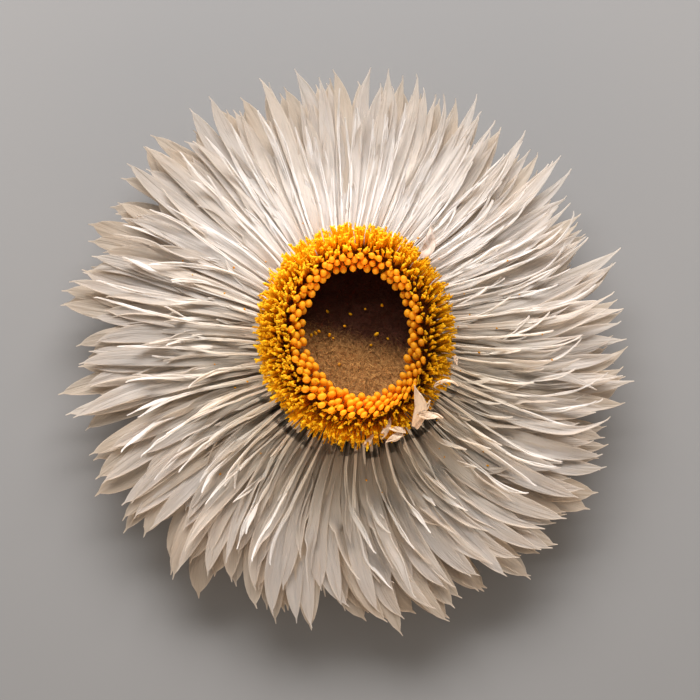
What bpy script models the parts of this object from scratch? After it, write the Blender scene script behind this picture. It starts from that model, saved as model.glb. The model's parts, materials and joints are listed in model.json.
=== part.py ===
"""A dried strawflower head, cut off just below the bloom and lying face up.

+Z is up and the origin is at the centre of the stem's cut face. Every piece is modelled as if
the head were round. The last step draws the middle of the head out along Y, because the real
ring of florets is oval.
"""

import math
import random

import bmesh
import bpy
from mathutils import Vector

MM = 0.001
SEED = 11
SHARP_ANGLE = math.radians(35)  # edges that bend more than this stay sharp

# The whole head
HEAD_RADIUS = 35 * MM
OUTLINE_SHIFT = Vector((-1.3 * MM, -1.0 * MM))  # the bracts reach further to the lower left
OUTLINE_UNEVENNESS = 1.1 * MM
OVAL_STRETCH = 1.5 * MM  # how much longer than wide half of the floret ring is

# The stem, and the cup that it widens into
STEM_RADIUS = 2.4 * MM
STEM_SHOULDER = 1.3 * MM  # the height in which the stem widens to the flare's first point
CUP_RADIUS = 9.6 * MM
CUP_TOP = 10.2 * MM
CUP_EDGE = 0.6 * MM
FLARE = ((4.0 * MM, 3.5 * MM), (7.0 * MM, 5.5 * MM), (9.1 * MM, 7.2 * MM))  # radius and height
TURNED_STEPS = 28
GAP = 0.3 * MM  # clear space between two pieces that meet

# The papery bracts. A pair is for the lowest and the highest tier.
LOWER_TIERS = 3
UPPER_TIERS = 4
BRACTS_A_TIER = 21
TIER_TURN = 0.38  # how far each tier is turned against the one below, as a share of a step
BRACT_THICKNESS = 0.64 * MM
BRACT_WIDTH = (5.4 * MM, 3.5 * MM)
BRACT_REACH = (1.0, 0.9)  # as shares of the head's outline
BRACT_CHANNEL = (0.16, 0.42)  # how far the edges stand up, as a share of the half width
ROOT_ANGLE = (math.radians(8), math.radians(21))
LOWER_TIPS = (1.6 * MM, 2.9 * MM)  # heights of the tips in the lower set
UPPER_TIPS = (4.9 * MM, 7.8 * MM)
ROOT_SINK = 0.9 * MM
ROOT_MARGIN = 0.5 * MM  # from a collar's bottom or top to the roots nearest it
WIDEST_AT = 0.62
ROOT_WIDTH_SHARE = 0.44
BRACT_STATIONS = (0.0, 0.2, 0.44, 0.7, 0.9)
BRACT_JITTER = 0.09  # as a share of a step
BRACT_SWEEP = 1.2 * MM
BRACT_WIDTH_SPREAD = (0.92, 1.06)

# The collars where the bracts' roots grow together, as bottom and top
LOWER_COLLAR = (5.2 * MM, 7.1 * MM)
UPPER_COLLAR = (7.4 * MM, 10.1 * MM)
LOWER_COLLAR_RADIUS = 10.9 * MM
UPPER_COLLAR_RADIUS = 11.5 * MM
COLLAR_SLANT = 0.5 * MM

# The short brown scales under the head. A pair is for the lower and the upper row.
SCALE_ROWS = 2
SCALES_A_ROW = 15
SCALE_LENGTH = (6.0 * MM, 8.0 * MM)
SCALE_LENGTH_SPREAD = (0.9, 1.08)
SCALE_WIDTH = 3.0 * MM
SCALE_CHANNEL = 0.12
SCALE_ROOT_ALONG_FLARE = (0.36, 0.8)  # on the stretch from the flare's first point to its second
SCALE_ROOT_ANGLE = math.radians(3)
SCALE_TIP_ANGLE = math.radians(-2)
SCALE_COLLAR_THICKNESS = 0.9 * MM
SCALE_COLLAR_ALONG_FLARE = 1.1
SCALE_STATIONS = (0.0, 0.4, 0.78)
SCALE_JITTER = 0.1  # as a share of a step
SCALE_SWEEP = 0.3 * MM

# The open florets, on a rounded ring round a hollow. A pair is for the inner and the outer row.
RING_RADIUS = 9.1 * MM
RING_CORE = (  # distance from the ring's middle line, and height above the ring's foot
    (0.2 * MM, 3.9 * MM),
    (1.3 * MM, 3.6 * MM),
    (1.9 * MM, 2.2 * MM),
    (1.2 * MM, 0.0),
    (-0.6 * MM, 0.0),
    (-0.6 * MM, 3.7 * MM),
)
OPEN_ROWS = 4
OPEN_A_ROW = 35
OPEN_OFFSET = (0.1 * MM, 0.95 * MM)  # from the ring's middle line
OPEN_ROOT_HEIGHT = (3.2 * MM, 2.3 * MM)
OPEN_LEAN = (math.radians(2), math.radians(43))
OPEN_LENGTH = 3.1 * MM
OPEN_LENGTH_SPREAD = (0.88, 1.06)
OPEN_ROOT_RADIUS = 0.34 * MM
OPEN_MOUTH_RADIUS = 0.56 * MM
OPEN_SIDES = 3
OPEN_JITTER = 0.15  # as a share of a step
OPEN_LEAN_JITTER = math.radians(4.6)

# The unopened florets, on the ring's inner wall. A pair is for the inner and the outer row.
BUD_ROWS = 2
BUDS_A_ROW = 27
BUD_OFFSET = (-2.55 * MM, -1.35 * MM)  # from the ring's middle line
BUD_HEIGHT = (3.9 * MM, 4.8 * MM)
BUD_LEAN = (math.radians(-40), math.radians(-14))
BUD_RADIUS = 0.72 * MM
BUD_LENGTHENING = 1.35
BUD_JITTER = 0.12  # as a share of a step
BUD_WALL_FOOT = 0.3 * MM  # how far the wall under the buds stands into the hollow
BUD_WALL_HEIGHTS = (3.0 * MM, 4.0 * MM, 4.1 * MM)  # on the hollow's side, midway and outside

# The fuzzy bed at the bottom of the hollow
BED_RADIUS = 5.7 * MM
BED_TOP = 11.8 * MM
BED_DISH = 0.7 * MM
BED_EDGE = 0.4 * MM
BED_RINGS = 5
BED_TUFTS_ROUND = 9
BED_TUFT_HEIGHT = 0.28 * MM
BED_TUFT_TURN = 5 / MM  # how fast the tufts' rows wind round towards the edge, per metre


def clear_scene():
    for leftover in list(bpy.data.objects):
        bpy.data.objects.remove(leftover)


def between(span, share):
    return span[0] + (span[1] - span[0]) * share


def smooth_step(value):
    value = min(1.0, max(0.0, value))
    return value * value * (3 - 2 * value)


def material(name, colour, roughness):
    made = bpy.data.materials.new(name)
    made.use_nodes = True
    shader = made.node_tree.nodes["Principled BSDF"]
    shader.inputs["Base Color"].default_value = (*colour, 1)
    shader.inputs["Roughness"].default_value = roughness
    shader.inputs["Metallic"].default_value = 0.0
    return made


def new_collection(name):
    made = bpy.data.collections.new(name)
    bpy.context.scene.collection.children.link(made)
    return made


def add_object(name, mesh, collection, surface):
    obj = bpy.data.objects.new(name, mesh)
    collection.objects.link(obj)
    mesh.materials.append(surface)
    return obj


def as_mesh(obj):
    """Replaces the object's mesh by what its modifiers make of it."""
    bpy.context.view_layer.update()
    graph = bpy.context.evaluated_depsgraph_get()
    made = bpy.data.meshes.new_from_object(obj.evaluated_get(graph))
    obj.modifiers.clear()
    obj.data = made
    return obj


def turned(name, profile, collection, surface):
    """A round piece: the outline in (radius, height), down its outer side first, turned about Z."""
    outline = bpy.data.meshes.new(name)
    points = [(radius, 0.0, height) for radius, height in profile]
    edges = [(i, i + 1) for i in range(len(points) - 1)]
    starts_on_axis = profile[0][0] == 0
    if not starts_on_axis:
        edges.append((len(points) - 1, 0))
    outline.from_pydata(points, edges, [])
    obj = add_object(name, outline, collection, surface)
    screw = obj.modifiers.new("Turn", "SCREW")
    screw.axis = "Z"
    screw.steps = TURNED_STEPS
    screw.render_steps = TURNED_STEPS
    screw.use_merge_vertices = True
    screw.merge_threshold = 0.00001
    return as_mesh(obj)


def fuse(core, repeats):
    """Joins everything in the repeats collection to the core, and removes the collection."""
    join = core.modifiers.new("Join", "BOOLEAN")
    join.operation = "UNION"
    join.operand_type = "COLLECTION"
    join.collection = repeats
    as_mesh(core)
    for obj in list(repeats.objects):
        bpy.data.objects.remove(obj)
    bpy.data.collections.remove(repeats)
    return core


def place(obj, azimuth, radius, height, lean=0.0):
    """Puts a piece of a ring in its place, leaning outwards from upright where lean is given."""
    obj.location = (radius * math.cos(azimuth), radius * math.sin(azimuth), height)
    obj.rotation_euler = (0, lean, azimuth)


def half_width(share, width):
    """A bract's half width: narrow at the root, widest past the middle, ending in a point."""
    if share < WIDEST_AT:
        swell = math.sin(math.pi / 2 * share / WIDEST_AT)
        return width / 2 * between((ROOT_WIDTH_SHARE, 1.0), swell)
    taper = math.cos(math.pi / 2 * (share - WIDEST_AT) / (1 - WIDEST_AT))
    return width / 2 * taper


def arched_line(length, root_angle, tip_angle, share):
    """A point on an arc that leaves at root_angle and has turned to tip_angle at its end."""
    turn = tip_angle - root_angle
    angle = root_angle + turn * share
    along = length * (math.sin(angle) - math.sin(root_angle)) / turn
    up = length * (math.cos(root_angle) - math.cos(angle)) / turn
    return along, up, angle


def bmesh_to_mesh(name, shape):
    mesh = bpy.data.meshes.new(name)
    shape.to_mesh(mesh)
    shape.free()
    return mesh


def blade_mesh(name, length, width, root_angle, tip_angle, channel, sweep, stations):
    """A thin lofted blade along +X, its root at the origin. sweep bends it sideways.

    Each section has a left edge, an upper middle, a right edge and a lower middle, and both
    faces are split into triangles along the same diagonals.
    """
    half_thickness = BRACT_THICKNESS / 2
    blade = bmesh.new()
    rings = []
    for share in stations:
        along, up, angle = arched_line(length, root_angle, tip_angle, share)
        half = half_width(share, width)
        normal = Vector((-math.sin(angle), 0, math.cos(angle)))
        middle = Vector((along, sweep * share * share, up))
        edge_lift = normal * channel * half
        ring = (
            middle + Vector((0, half, 0)) + edge_lift,
            middle + normal * half_thickness,
            middle - Vector((0, half, 0)) + edge_lift,
            middle - normal * half_thickness,
        )
        rings.append([blade.verts.new(point) for point in ring])
    along, up, _ = arched_line(length, root_angle, tip_angle, 1.0)
    tip = blade.verts.new((along, sweep, up))
    left, over, right, under = range(4)
    for near, far in zip(rings, rings[1:]):
        for edge, middle, facing_up in (
            (left, over, True),
            (right, over, False),
            (right, under, True),
            (left, under, False),
        ):
            first = (near[edge], far[edge], far[middle])
            second = (near[edge], far[middle], near[middle])
            for corners in (first, second):
                blade.faces.new(corners if facing_up else corners[::-1])
    for start in range(4):
        blade.faces.new((rings[-1][start], rings[-1][(start + 1) % 4], tip))
    blade.faces.new(rings[0])
    bmesh.ops.recalc_face_normals(blade, faces=blade.faces)
    return bmesh_to_mesh(name, blade)


def outline_reach(azimuth, chance):
    """How far the longest bracts reach in this direction. Their tips are uneven."""
    outwards = Vector((math.cos(azimuth), math.sin(azimuth)))
    unevenness = chance.uniform(-1, 1) * OUTLINE_UNEVENNESS
    return HEAD_RADIUS + OUTLINE_SHIFT.dot(outwards) + unevenness


def receptacle_with_stem(collection, surface):
    """The stem's cut end and the cup that it widens into, which carries all the rest."""
    profile = (
        (0, CUP_TOP),
        (CUP_RADIUS - CUP_EDGE, CUP_TOP),
        (CUP_RADIUS, CUP_TOP - CUP_EDGE),
        FLARE[2],
        FLARE[1],
        FLARE[0],
        (STEM_RADIUS, FLARE[0][1] - STEM_SHOULDER),
        (STEM_RADIUS, 0),
        (0, 0),
    )
    return turned("receptacle_with_stem", profile, collection, surface)


def below_flare(share, depth):
    """A point under the cup's flare: share runs from its first point to its second, depth outwards."""
    start, end = (Vector(point) for point in FLARE[:2])
    along = (end - start).normalized()
    return start.lerp(end, share) + depth * Vector((along.y, -along.x))


def outer_scales(collection, surface):
    """Short brown scales in two rows, on a thin collar that hugs the cup's flare from below."""
    chance = random.Random(SEED)
    near, far = GAP, GAP + SCALE_COLLAR_THICKNESS
    end = SCALE_COLLAR_ALONG_FLARE
    corners = ((end, near), (end, far), (0.0, far), (0.0, near))
    profile = [tuple(below_flare(share, depth)) for share, depth in corners]
    core = turned("outer_scales", profile, collection, surface)
    repeats = new_collection("scale repeats")
    step = math.tau / SCALES_A_ROW
    for row in range(SCALE_ROWS):
        share = row / (SCALE_ROWS - 1)
        root = below_flare(between(SCALE_ROOT_ALONG_FLARE, share), (near + far) / 2)
        for index in range(SCALES_A_ROW):
            azimuth = step * (index + 0.5 * row + chance.uniform(-SCALE_JITTER, SCALE_JITTER))
            mesh = blade_mesh(
                "scale",
                between(SCALE_LENGTH, share) * chance.uniform(*SCALE_LENGTH_SPREAD),
                SCALE_WIDTH,
                SCALE_ROOT_ANGLE,
                SCALE_TIP_ANGLE,
                SCALE_CHANNEL,
                chance.uniform(-SCALE_SWEEP, SCALE_SWEEP),
                SCALE_STATIONS,
            )
            scale = add_object("scale", mesh, repeats, surface)
            place(scale, azimuth, root.x, root.y)
    return fuse(core, repeats)


def bract_collar(name, bottom, top, radius, collection, surface):
    """The ring round the cup where the roots of a set of bracts grow together."""
    inner = CUP_RADIUS + GAP
    profile = (
        (inner, top),
        (radius, top - COLLAR_SLANT),
        (radius - COLLAR_SLANT, bottom),
        (inner, bottom),
    )
    return turned(name, profile, collection, surface)


def bracts(name, tiers, collar, radius, tips, collection, surface):
    """Several tiers of papery bracts on one collar, each tier turned against the one below.

    A bract is an arc, so its chord's slope is the mean of the slopes at its two ends.
    """
    chance = random.Random(SEED + tiers[0])
    bottom, top = collar
    core = bract_collar(name, bottom, top, radius, collection, surface)
    repeats = new_collection(name + " repeats")
    step = math.tau / BRACTS_A_TIER
    root_radius = radius - ROOT_SINK
    for tier in tiers:
        share = tier / (LOWER_TIERS + UPPER_TIERS - 1)
        share_of_set = (tier - tiers[0]) / (len(tiers) - 1)
        root_angle = between(ROOT_ANGLE, share)
        root_height = between((bottom + ROOT_MARGIN, top - ROOT_MARGIN), share_of_set)
        for index in range(BRACTS_A_TIER):
            turn = index + TIER_TURN * tier + chance.uniform(-BRACT_JITTER, BRACT_JITTER)
            azimuth = step * turn
            reach = outline_reach(azimuth, chance) * between(BRACT_REACH, share) - root_radius
            slope = math.atan((between(tips, share_of_set) - root_height) / reach)
            tip_angle = 2 * slope - root_angle
            length = reach / arched_line(1.0, root_angle, tip_angle, 1.0)[0]
            mesh = blade_mesh(
                "bract",
                length,
                between(BRACT_WIDTH, share) * chance.uniform(*BRACT_WIDTH_SPREAD),
                root_angle,
                tip_angle,
                between(BRACT_CHANNEL, share),
                chance.uniform(-BRACT_SWEEP, BRACT_SWEEP),
                BRACT_STATIONS,
            )
            bract = add_object("bract", mesh, repeats, surface)
            place(bract, azimuth, root_radius, root_height)
    return fuse(core, repeats)


def trumpet_mesh(length):
    """A slim open floret that stands on the origin and widens towards its mouth."""
    trumpet = bmesh.new()
    bmesh.ops.create_cone(
        trumpet,
        cap_ends=True,
        segments=OPEN_SIDES,
        radius1=OPEN_ROOT_RADIUS,
        radius2=OPEN_MOUTH_RADIUS,
        depth=length,
    )
    bmesh.ops.translate(trumpet, verts=trumpet.verts, vec=(0, 0, length / 2))
    return bmesh_to_mesh("open floret", trumpet)


def open_florets(collection, surface):
    """Slim trumpets packed in rows on a rounded ring, leaning further out from row to row."""
    chance = random.Random(SEED + 20)
    foot = CUP_TOP + GAP
    profile = [(RING_RADIUS + offset, foot + height) for offset, height in RING_CORE]
    core = turned("open_florets", profile, collection, surface)
    repeats = new_collection("open floret repeats")
    step = math.tau / OPEN_A_ROW
    for row in range(OPEN_ROWS):
        share = row / (OPEN_ROWS - 1)
        radius = RING_RADIUS + between(OPEN_OFFSET, share)
        height = foot + between(OPEN_ROOT_HEIGHT, share * share)
        for index in range(OPEN_A_ROW):
            turn = index + 0.5 * (row % 2) + chance.uniform(-OPEN_JITTER, OPEN_JITTER)
            mesh = trumpet_mesh(OPEN_LENGTH * chance.uniform(*OPEN_LENGTH_SPREAD))
            floret = add_object("open floret", mesh, repeats, surface)
            jitter = chance.uniform(-OPEN_LEAN_JITTER, OPEN_LEAN_JITTER)
            place(floret, step * turn, radius, height, between(OPEN_LEAN, share) + jitter)
    return fuse(core, repeats)


def bud_mesh():
    ball = bmesh.new()
    bmesh.ops.create_icosphere(ball, subdivisions=1, radius=BUD_RADIUS)
    bmesh.ops.scale(ball, verts=ball.verts, vec=(1, 1, BUD_LENGTHENING))
    return bmesh_to_mesh("bud", ball)


def floret_buds(collection, surface):
    """Round unopened florets in two rows, on the ring's inner wall and leaning over the hollow."""
    chance = random.Random(SEED + 30)
    foot = CUP_TOP + GAP
    outer = RING_RADIUS + RING_CORE[-1][0] - GAP
    inner = RING_RADIUS + BUD_OFFSET[0] - BUD_WALL_FOOT
    low, middle, high = BUD_WALL_HEIGHTS
    profile = (
        (outer, foot + high),
        (outer, foot),
        (inner, foot),
        (inner, foot + low),
        (inner + BUD_RADIUS, foot + middle),
    )
    core = turned("floret_buds", profile, collection, surface)
    repeats = new_collection("bud repeats")
    step = math.tau / BUDS_A_ROW
    for row in range(BUD_ROWS):
        share = row / (BUD_ROWS - 1)
        radius = RING_RADIUS + between(BUD_OFFSET, share)
        height = foot + between(BUD_HEIGHT, share)
        for index in range(BUDS_A_ROW):
            turn = index + 0.5 * row + chance.uniform(-BUD_JITTER, BUD_JITTER)
            bud = add_object("bud", bud_mesh(), repeats, surface)
            place(bud, step * turn, radius, height, between(BUD_LEAN, share))
    return fuse(core, repeats)


def pappus_bed(collection, surface):
    """The soft bed in the hollow, sunk in the middle, with a relief of small tufts."""
    foot = CUP_TOP + GAP
    shares = [ring / BED_RINGS for ring in range(BED_RINGS)]
    top = [(BED_RADIUS * share, BED_TOP + BED_DISH * (share * share - 1)) for share in shares]
    profile = (*top, (BED_RADIUS, BED_TOP - BED_EDGE), (BED_RADIUS, foot), (0, foot))
    bed = turned("pappus_bed", profile, collection, surface)
    for vertex in bed.data.vertices:
        radius = vertex.co.xy.length
        in_edge = radius > BED_RADIUS * (shares[-1] + 1) / 2
        if in_edge or radius == 0 or vertex.co.z < BED_TOP - BED_DISH - GAP:
            continue
        azimuth = math.atan2(vertex.co.y, vertex.co.x)
        wave = math.cos(BED_TUFTS_ROUND * azimuth + BED_TUFT_TURN * radius)
        vertex.co.z += BED_TUFT_HEIGHT * wave
    return bed


def draw_out_along_y(obj):
    """Makes the round head oval: the ring's radius grows along Y, and the outline stays as it is."""
    hollow = RING_RADIUS + BUD_OFFSET[0]
    ring_edge = RING_RADIUS + OPEN_OFFSET[1]
    for vertex in obj.data.vertices:
        radius = vertex.co.xy.length
        if radius == 0:
            continue
        inside = smooth_step(radius / hollow)
        outside = 1 - smooth_step((radius - ring_edge) / (HEAD_RADIUS - ring_edge))
        vertex.co.y += OVAL_STRETCH * inside * outside * vertex.co.y / radius


def main():
    clear_scene()
    head = new_collection("dried strawflower")
    brown = material("stem brown green", (0.30, 0.24, 0.11), 0.8)
    straw = material("straw brown scale", (0.52, 0.36, 0.19), 0.6)
    cream = material("cream paper bract", (0.83, 0.74, 0.61), 0.5)
    white = material("white paper bract", (0.90, 0.87, 0.82), 0.45)
    yellow = material("yellow floret", (0.90, 0.48, 0.03), 0.55)
    orange = material("orange bud", (0.85, 0.36, 0.03), 0.5)
    tan = material("tan fuzz", (0.42, 0.23, 0.09), 0.9)

    low = range(LOWER_TIERS)
    high = range(LOWER_TIERS, LOWER_TIERS + UPPER_TIERS)
    pieces = (
        receptacle_with_stem(head, brown),
        outer_scales(head, straw),
        bracts("lower_bracts", low, LOWER_COLLAR, LOWER_COLLAR_RADIUS, LOWER_TIPS, head, cream),
        bracts("upper_bracts", high, UPPER_COLLAR, UPPER_COLLAR_RADIUS, UPPER_TIPS, head, white),
        open_florets(head, yellow),
        floret_buds(head, orange),
        pappus_bed(head, tan),
    )
    for piece in pieces:
        draw_out_along_y(piece)
        piece.data.shade_smooth()
        piece.data.set_sharp_from_angle(angle=SHARP_ANGLE)


main()
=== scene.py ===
"""Dresses a dried strawflower head: papery bracts, a ring of florets, a bed of fuzz, brown scales.

Laid out as an add-on and run as a script. Each operator builds one piece of the head, or one group
of like pieces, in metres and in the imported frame.
"""

import json
import math
from dataclasses import dataclass

import bpy
import numpy as np
from bpy.props import FloatProperty, FloatVectorProperty, IntProperty, PointerProperty
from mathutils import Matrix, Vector
from mathutils.bvhtree import BVHTree

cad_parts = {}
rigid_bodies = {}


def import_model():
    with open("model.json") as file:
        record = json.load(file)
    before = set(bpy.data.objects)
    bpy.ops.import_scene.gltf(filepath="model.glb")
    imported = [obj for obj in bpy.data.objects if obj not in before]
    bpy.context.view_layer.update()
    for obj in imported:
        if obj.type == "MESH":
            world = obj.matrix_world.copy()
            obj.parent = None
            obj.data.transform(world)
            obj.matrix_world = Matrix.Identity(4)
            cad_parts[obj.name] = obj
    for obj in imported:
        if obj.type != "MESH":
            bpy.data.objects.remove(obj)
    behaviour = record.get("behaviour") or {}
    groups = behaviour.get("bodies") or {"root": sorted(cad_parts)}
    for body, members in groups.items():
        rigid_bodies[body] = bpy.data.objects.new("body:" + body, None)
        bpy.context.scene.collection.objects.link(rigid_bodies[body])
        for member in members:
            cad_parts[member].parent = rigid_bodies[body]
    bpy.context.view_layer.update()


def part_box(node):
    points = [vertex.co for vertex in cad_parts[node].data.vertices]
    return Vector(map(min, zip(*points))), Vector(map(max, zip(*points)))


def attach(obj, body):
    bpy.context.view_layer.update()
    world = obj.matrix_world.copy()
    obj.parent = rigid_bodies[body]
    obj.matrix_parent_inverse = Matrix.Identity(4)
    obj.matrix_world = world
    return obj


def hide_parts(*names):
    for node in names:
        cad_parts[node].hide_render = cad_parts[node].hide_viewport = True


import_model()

bl_info = {
    "name": "Dried Strawflower Head",
    "version": (1, 0, 0),
    "blender": (4, 5, 0),
    "location": "3D Viewport > Sidebar > Strawflower",
    "description": "Builds the bracts, florets, fuzz and scales of a dried strawflower head",
    "category": "Add Mesh",
}

MM = 0.001

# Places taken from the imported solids.
CUP_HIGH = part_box("receptacle_with_stem")[1]
DISC_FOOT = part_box("open_florets")[0].z
BED_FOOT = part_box("pappus_bed")[0].z
LOWER_LOW, LOWER_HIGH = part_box("lower_bracts")
CUP_RADIUS = CUP_HIGH.x
CUP_TOP = CUP_HIGH.z
OVAL_STRETCH = CUP_HIGH.y - CUP_HIGH.x
HEAD_RADIUS = (LOWER_HIGH.x - LOWER_LOW.x) / 2
TIPS_ASIDE = np.array((0.3, 0.8)) * MM  # how far the ring of tips lies off the middle of the solids
HEAD_CENTRE = np.array(((LOWER_LOW + LOWER_HIGH) / 2).xy) + TIPS_ASIDE

# The receptacle's outline from the stem up, as radius and height, which the solids share.
STEM_RADIUS = 2.4 * MM
STEM_SHOULDER = 1.3 * MM
FLARE = ((4.0 * MM, 3.5 * MM), (7.0 * MM, 5.5 * MM), (9.1 * MM, 7.2 * MM))
CUP_EDGE = 0.6 * MM

# The disc, as radii before it is drawn out into an oval.
HOLLOW_RADIUS = 6.55 * MM
RING_EDGE = 10.05 * MM
RING_WIDTH = RING_EDGE - HOLLOW_RADIUS
HOLLOW_SHIFT = 1.1 * MM  # how far the near end of the hollow lies to the right

# How a bract turns sideways on its way out, by the direction in which it points.
SWEEP_START = math.radians(-12)
SWEEP_MEAN = math.radians(20)
SWEEP_ALONG_X = math.radians(8)
SWEEP_ALONG_Y = math.radians(-14)


def smooth_step(value):
    value = np.clip(value, 0.0, 1.0)
    return value * value * (3 - 2 * value)


def between(span, share):
    return span[0] + (span[1] - span[0]) * share


def drawn_out(points):
    """Makes the round disc oval: radii grow along Y up to the ring, and less and less beyond it."""
    radius = np.maximum(np.hypot(points[..., 0], points[..., 1]), 1e-6)
    inside = smooth_step(radius / HOLLOW_RADIUS)
    outside = 1 - smooth_step((radius - RING_EDGE) / (HEAD_RADIUS - RING_EDGE))
    oval = points.copy()
    oval[..., 1] += OVAL_STRETCH * inside * outside * points[..., 1] / radius
    near = smooth_step(-points[..., 1] / HOLLOW_RADIUS)
    oval[..., 0] += HOLLOW_SHIFT * near * (1 - smooth_step((radius - HOLLOW_RADIUS) / RING_WIDTH))
    return oval


# Node trees


class Wire:
    """One output socket of a node tree. Sums, products and differences of wires add Math nodes."""

    def __init__(self, graph, socket):
        self.graph = graph
        self.socket = socket

    def math(self, operation, *others):
        return self.graph.math(operation, self, *others)

    def __add__(self, other):
        return self.math("ADD", other)

    __radd__ = __add__

    def __mul__(self, other):
        return self.math("MULTIPLY", other)

    __rmul__ = __mul__

    def __sub__(self, other):
        return self.math("SUBTRACT", other)

    def __rsub__(self, other):
        return self.graph.math("SUBTRACT", other, self)

    def __truediv__(self, other):
        return self.math("DIVIDE", other)


class Graph:
    """A node tree, and the one way in which nodes are added to it."""

    def __init__(self, tree):
        self.tree = tree

    def add(self, kind, settings=None, values=None, output=0):
        """Adds a node. Settings are set first, then the values or wires of its sockets."""
        node = self.tree.nodes.new(kind)
        for name, value in (settings or {}).items():
            setattr(node, name, value)
        for name, value in (values or {}).items():
            if isinstance(value, Wire):
                self.tree.links.new(value.socket, node.inputs[name])
            else:
                node.inputs[name].default_value = value
        return Wire(self, node.outputs[output] if len(node.outputs) else None)

    def math(self, operation, *values):
        return self.add("ShaderNodeMath", {"operation": operation}, dict(enumerate(values)))

    def smooth(self, value, low, high):
        """0 below low, 1 above high, and smooth between them."""
        sockets = {"Value": value, "From Min": low, "From Max": high}
        return self.add("ShaderNodeMapRange", {"interpolation_type": "SMOOTHSTEP"}, sockets)

    def falling(self, value, high, low):
        """0 above high, 1 below low, and smooth between them."""
        return 1.0 - self.smooth(value, low, high)

    def mix(self, share, first, second, blend="MIX"):
        """Mixes two colours, each a wire or a plain red, green and blue."""
        first, second = (each if isinstance(each, Wire) else opaque(each) for each in (first, second))
        settings = {"data_type": "RGBA", "blend_type": blend}
        return self.add("ShaderNodeMix", settings, {0: share, 6: first, 7: second}, 2)

    def shaded(self, colour, red, green=None, blue=None):
        """A colour made lighter or darker by one number, or by one for each channel."""
        return self.mix(1.0, colour, self.vector(red, green or red, blue or red), "MULTIPLY")

    def attributes(self, *names):
        """A number from each of the mesh's attributes named."""
        return (self.add("ShaderNodeAttribute", {"attribute_name": name}, output=2) for name in names)

    def position(self):
        """Object coordinates: the vector, how far aside, how far away and how high."""
        place = self.add("ShaderNodeTexCoord", output=3)
        parts = self.add("ShaderNodeSeparateXYZ", None, {0: place}).socket.node.outputs
        return (place, *(Wire(self, part) for part in parts))

    def vector(self, x, y, z):
        return self.add("ShaderNodeCombineXYZ", None, {"X": x, "Y": y, "Z": z})

    def noise(self, vector, scale, detail=2.0):
        sockets = {"Vector": vector, "Scale": scale, "Detail": detail}
        return self.add("ShaderNodeTexNoise", None, sockets)

    def bump(self, height, distance, strength=1.0):
        sockets = {"Height": height, "Distance": distance, "Strength": strength}
        return self.add("ShaderNodeBump", None, sockets)


def opaque(colour):
    return (*colour, 1)


def finish_material(graph, colour, roughness, normal, constants=None, glow=None, glow_share=0.0):
    """Joins colour, roughness and normal to a shader, with light let through where glow is given."""
    sockets = {"Base Color": colour, "Roughness": roughness, "Normal": normal}
    surface = graph.add("ShaderNodeBsdfPrincipled", None, {**sockets, **(constants or {})})
    if glow:
        sockets = {"Color": opaque(glow), "Normal": normal}
        through = graph.add("ShaderNodeBsdfTranslucent", None, sockets)
        surface = graph.add("ShaderNodeMixShader", None, {0: glow_share, 1: surface, 2: through})
    graph.add("ShaderNodeOutputMaterial", None, {"Surface": surface})


def new_material(name):
    material = bpy.data.materials.new(name)
    material.use_nodes = True
    material.node_tree.nodes.clear()
    return material, Graph(material.node_tree)


# Zones of the head in which painted light and shade, and age, change the colours, from no effect to full
# effect.
FAR_ZONE = (-6 * MM, 16 * MM)  # along Y
RIGHT_ZONE = (6 * MM, 22 * MM)  # along X
RIGHT_ZONE_FROM = (-14 * MM, 2 * MM)  # along Y
INNER_SHADE_ZONE = (29 * MM, 13 * MM)  # from the middle
# Painted shadows: one on the roots near the ring on the near half, and broken patches under the ring's
# edge.
ROOT_SHADOW_SPAN = (0.2, 0.12)  # along a bract
ROOT_SHADOW_ZONE = (7 * MM, -2 * MM)  # along Y
RING_SHADOW = (13.5 * MM, 13.3 * MM)  # from the middle, measured on an oval
RING_SHADOW_ZONE = (-4 * MM, -8 * MM)  # along Y
RING_SHADOW_OVAL = 0.86
HOLE_SCALE = 520.0  # how often the pattern repeats in a metre, here and below
PAINTED_GAP_SHADOW = (0.035, 0.028, 0.016)  # painted shadow in the gaps between the roots and under the ring's edge
PAPER_GLOSS = {"Sheen Weight": 0.15, "Sheen Roughness": 0.4, "Specular IOR Level": 0.4}
PAPER_RELIEF = 0.085 * MM


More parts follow.
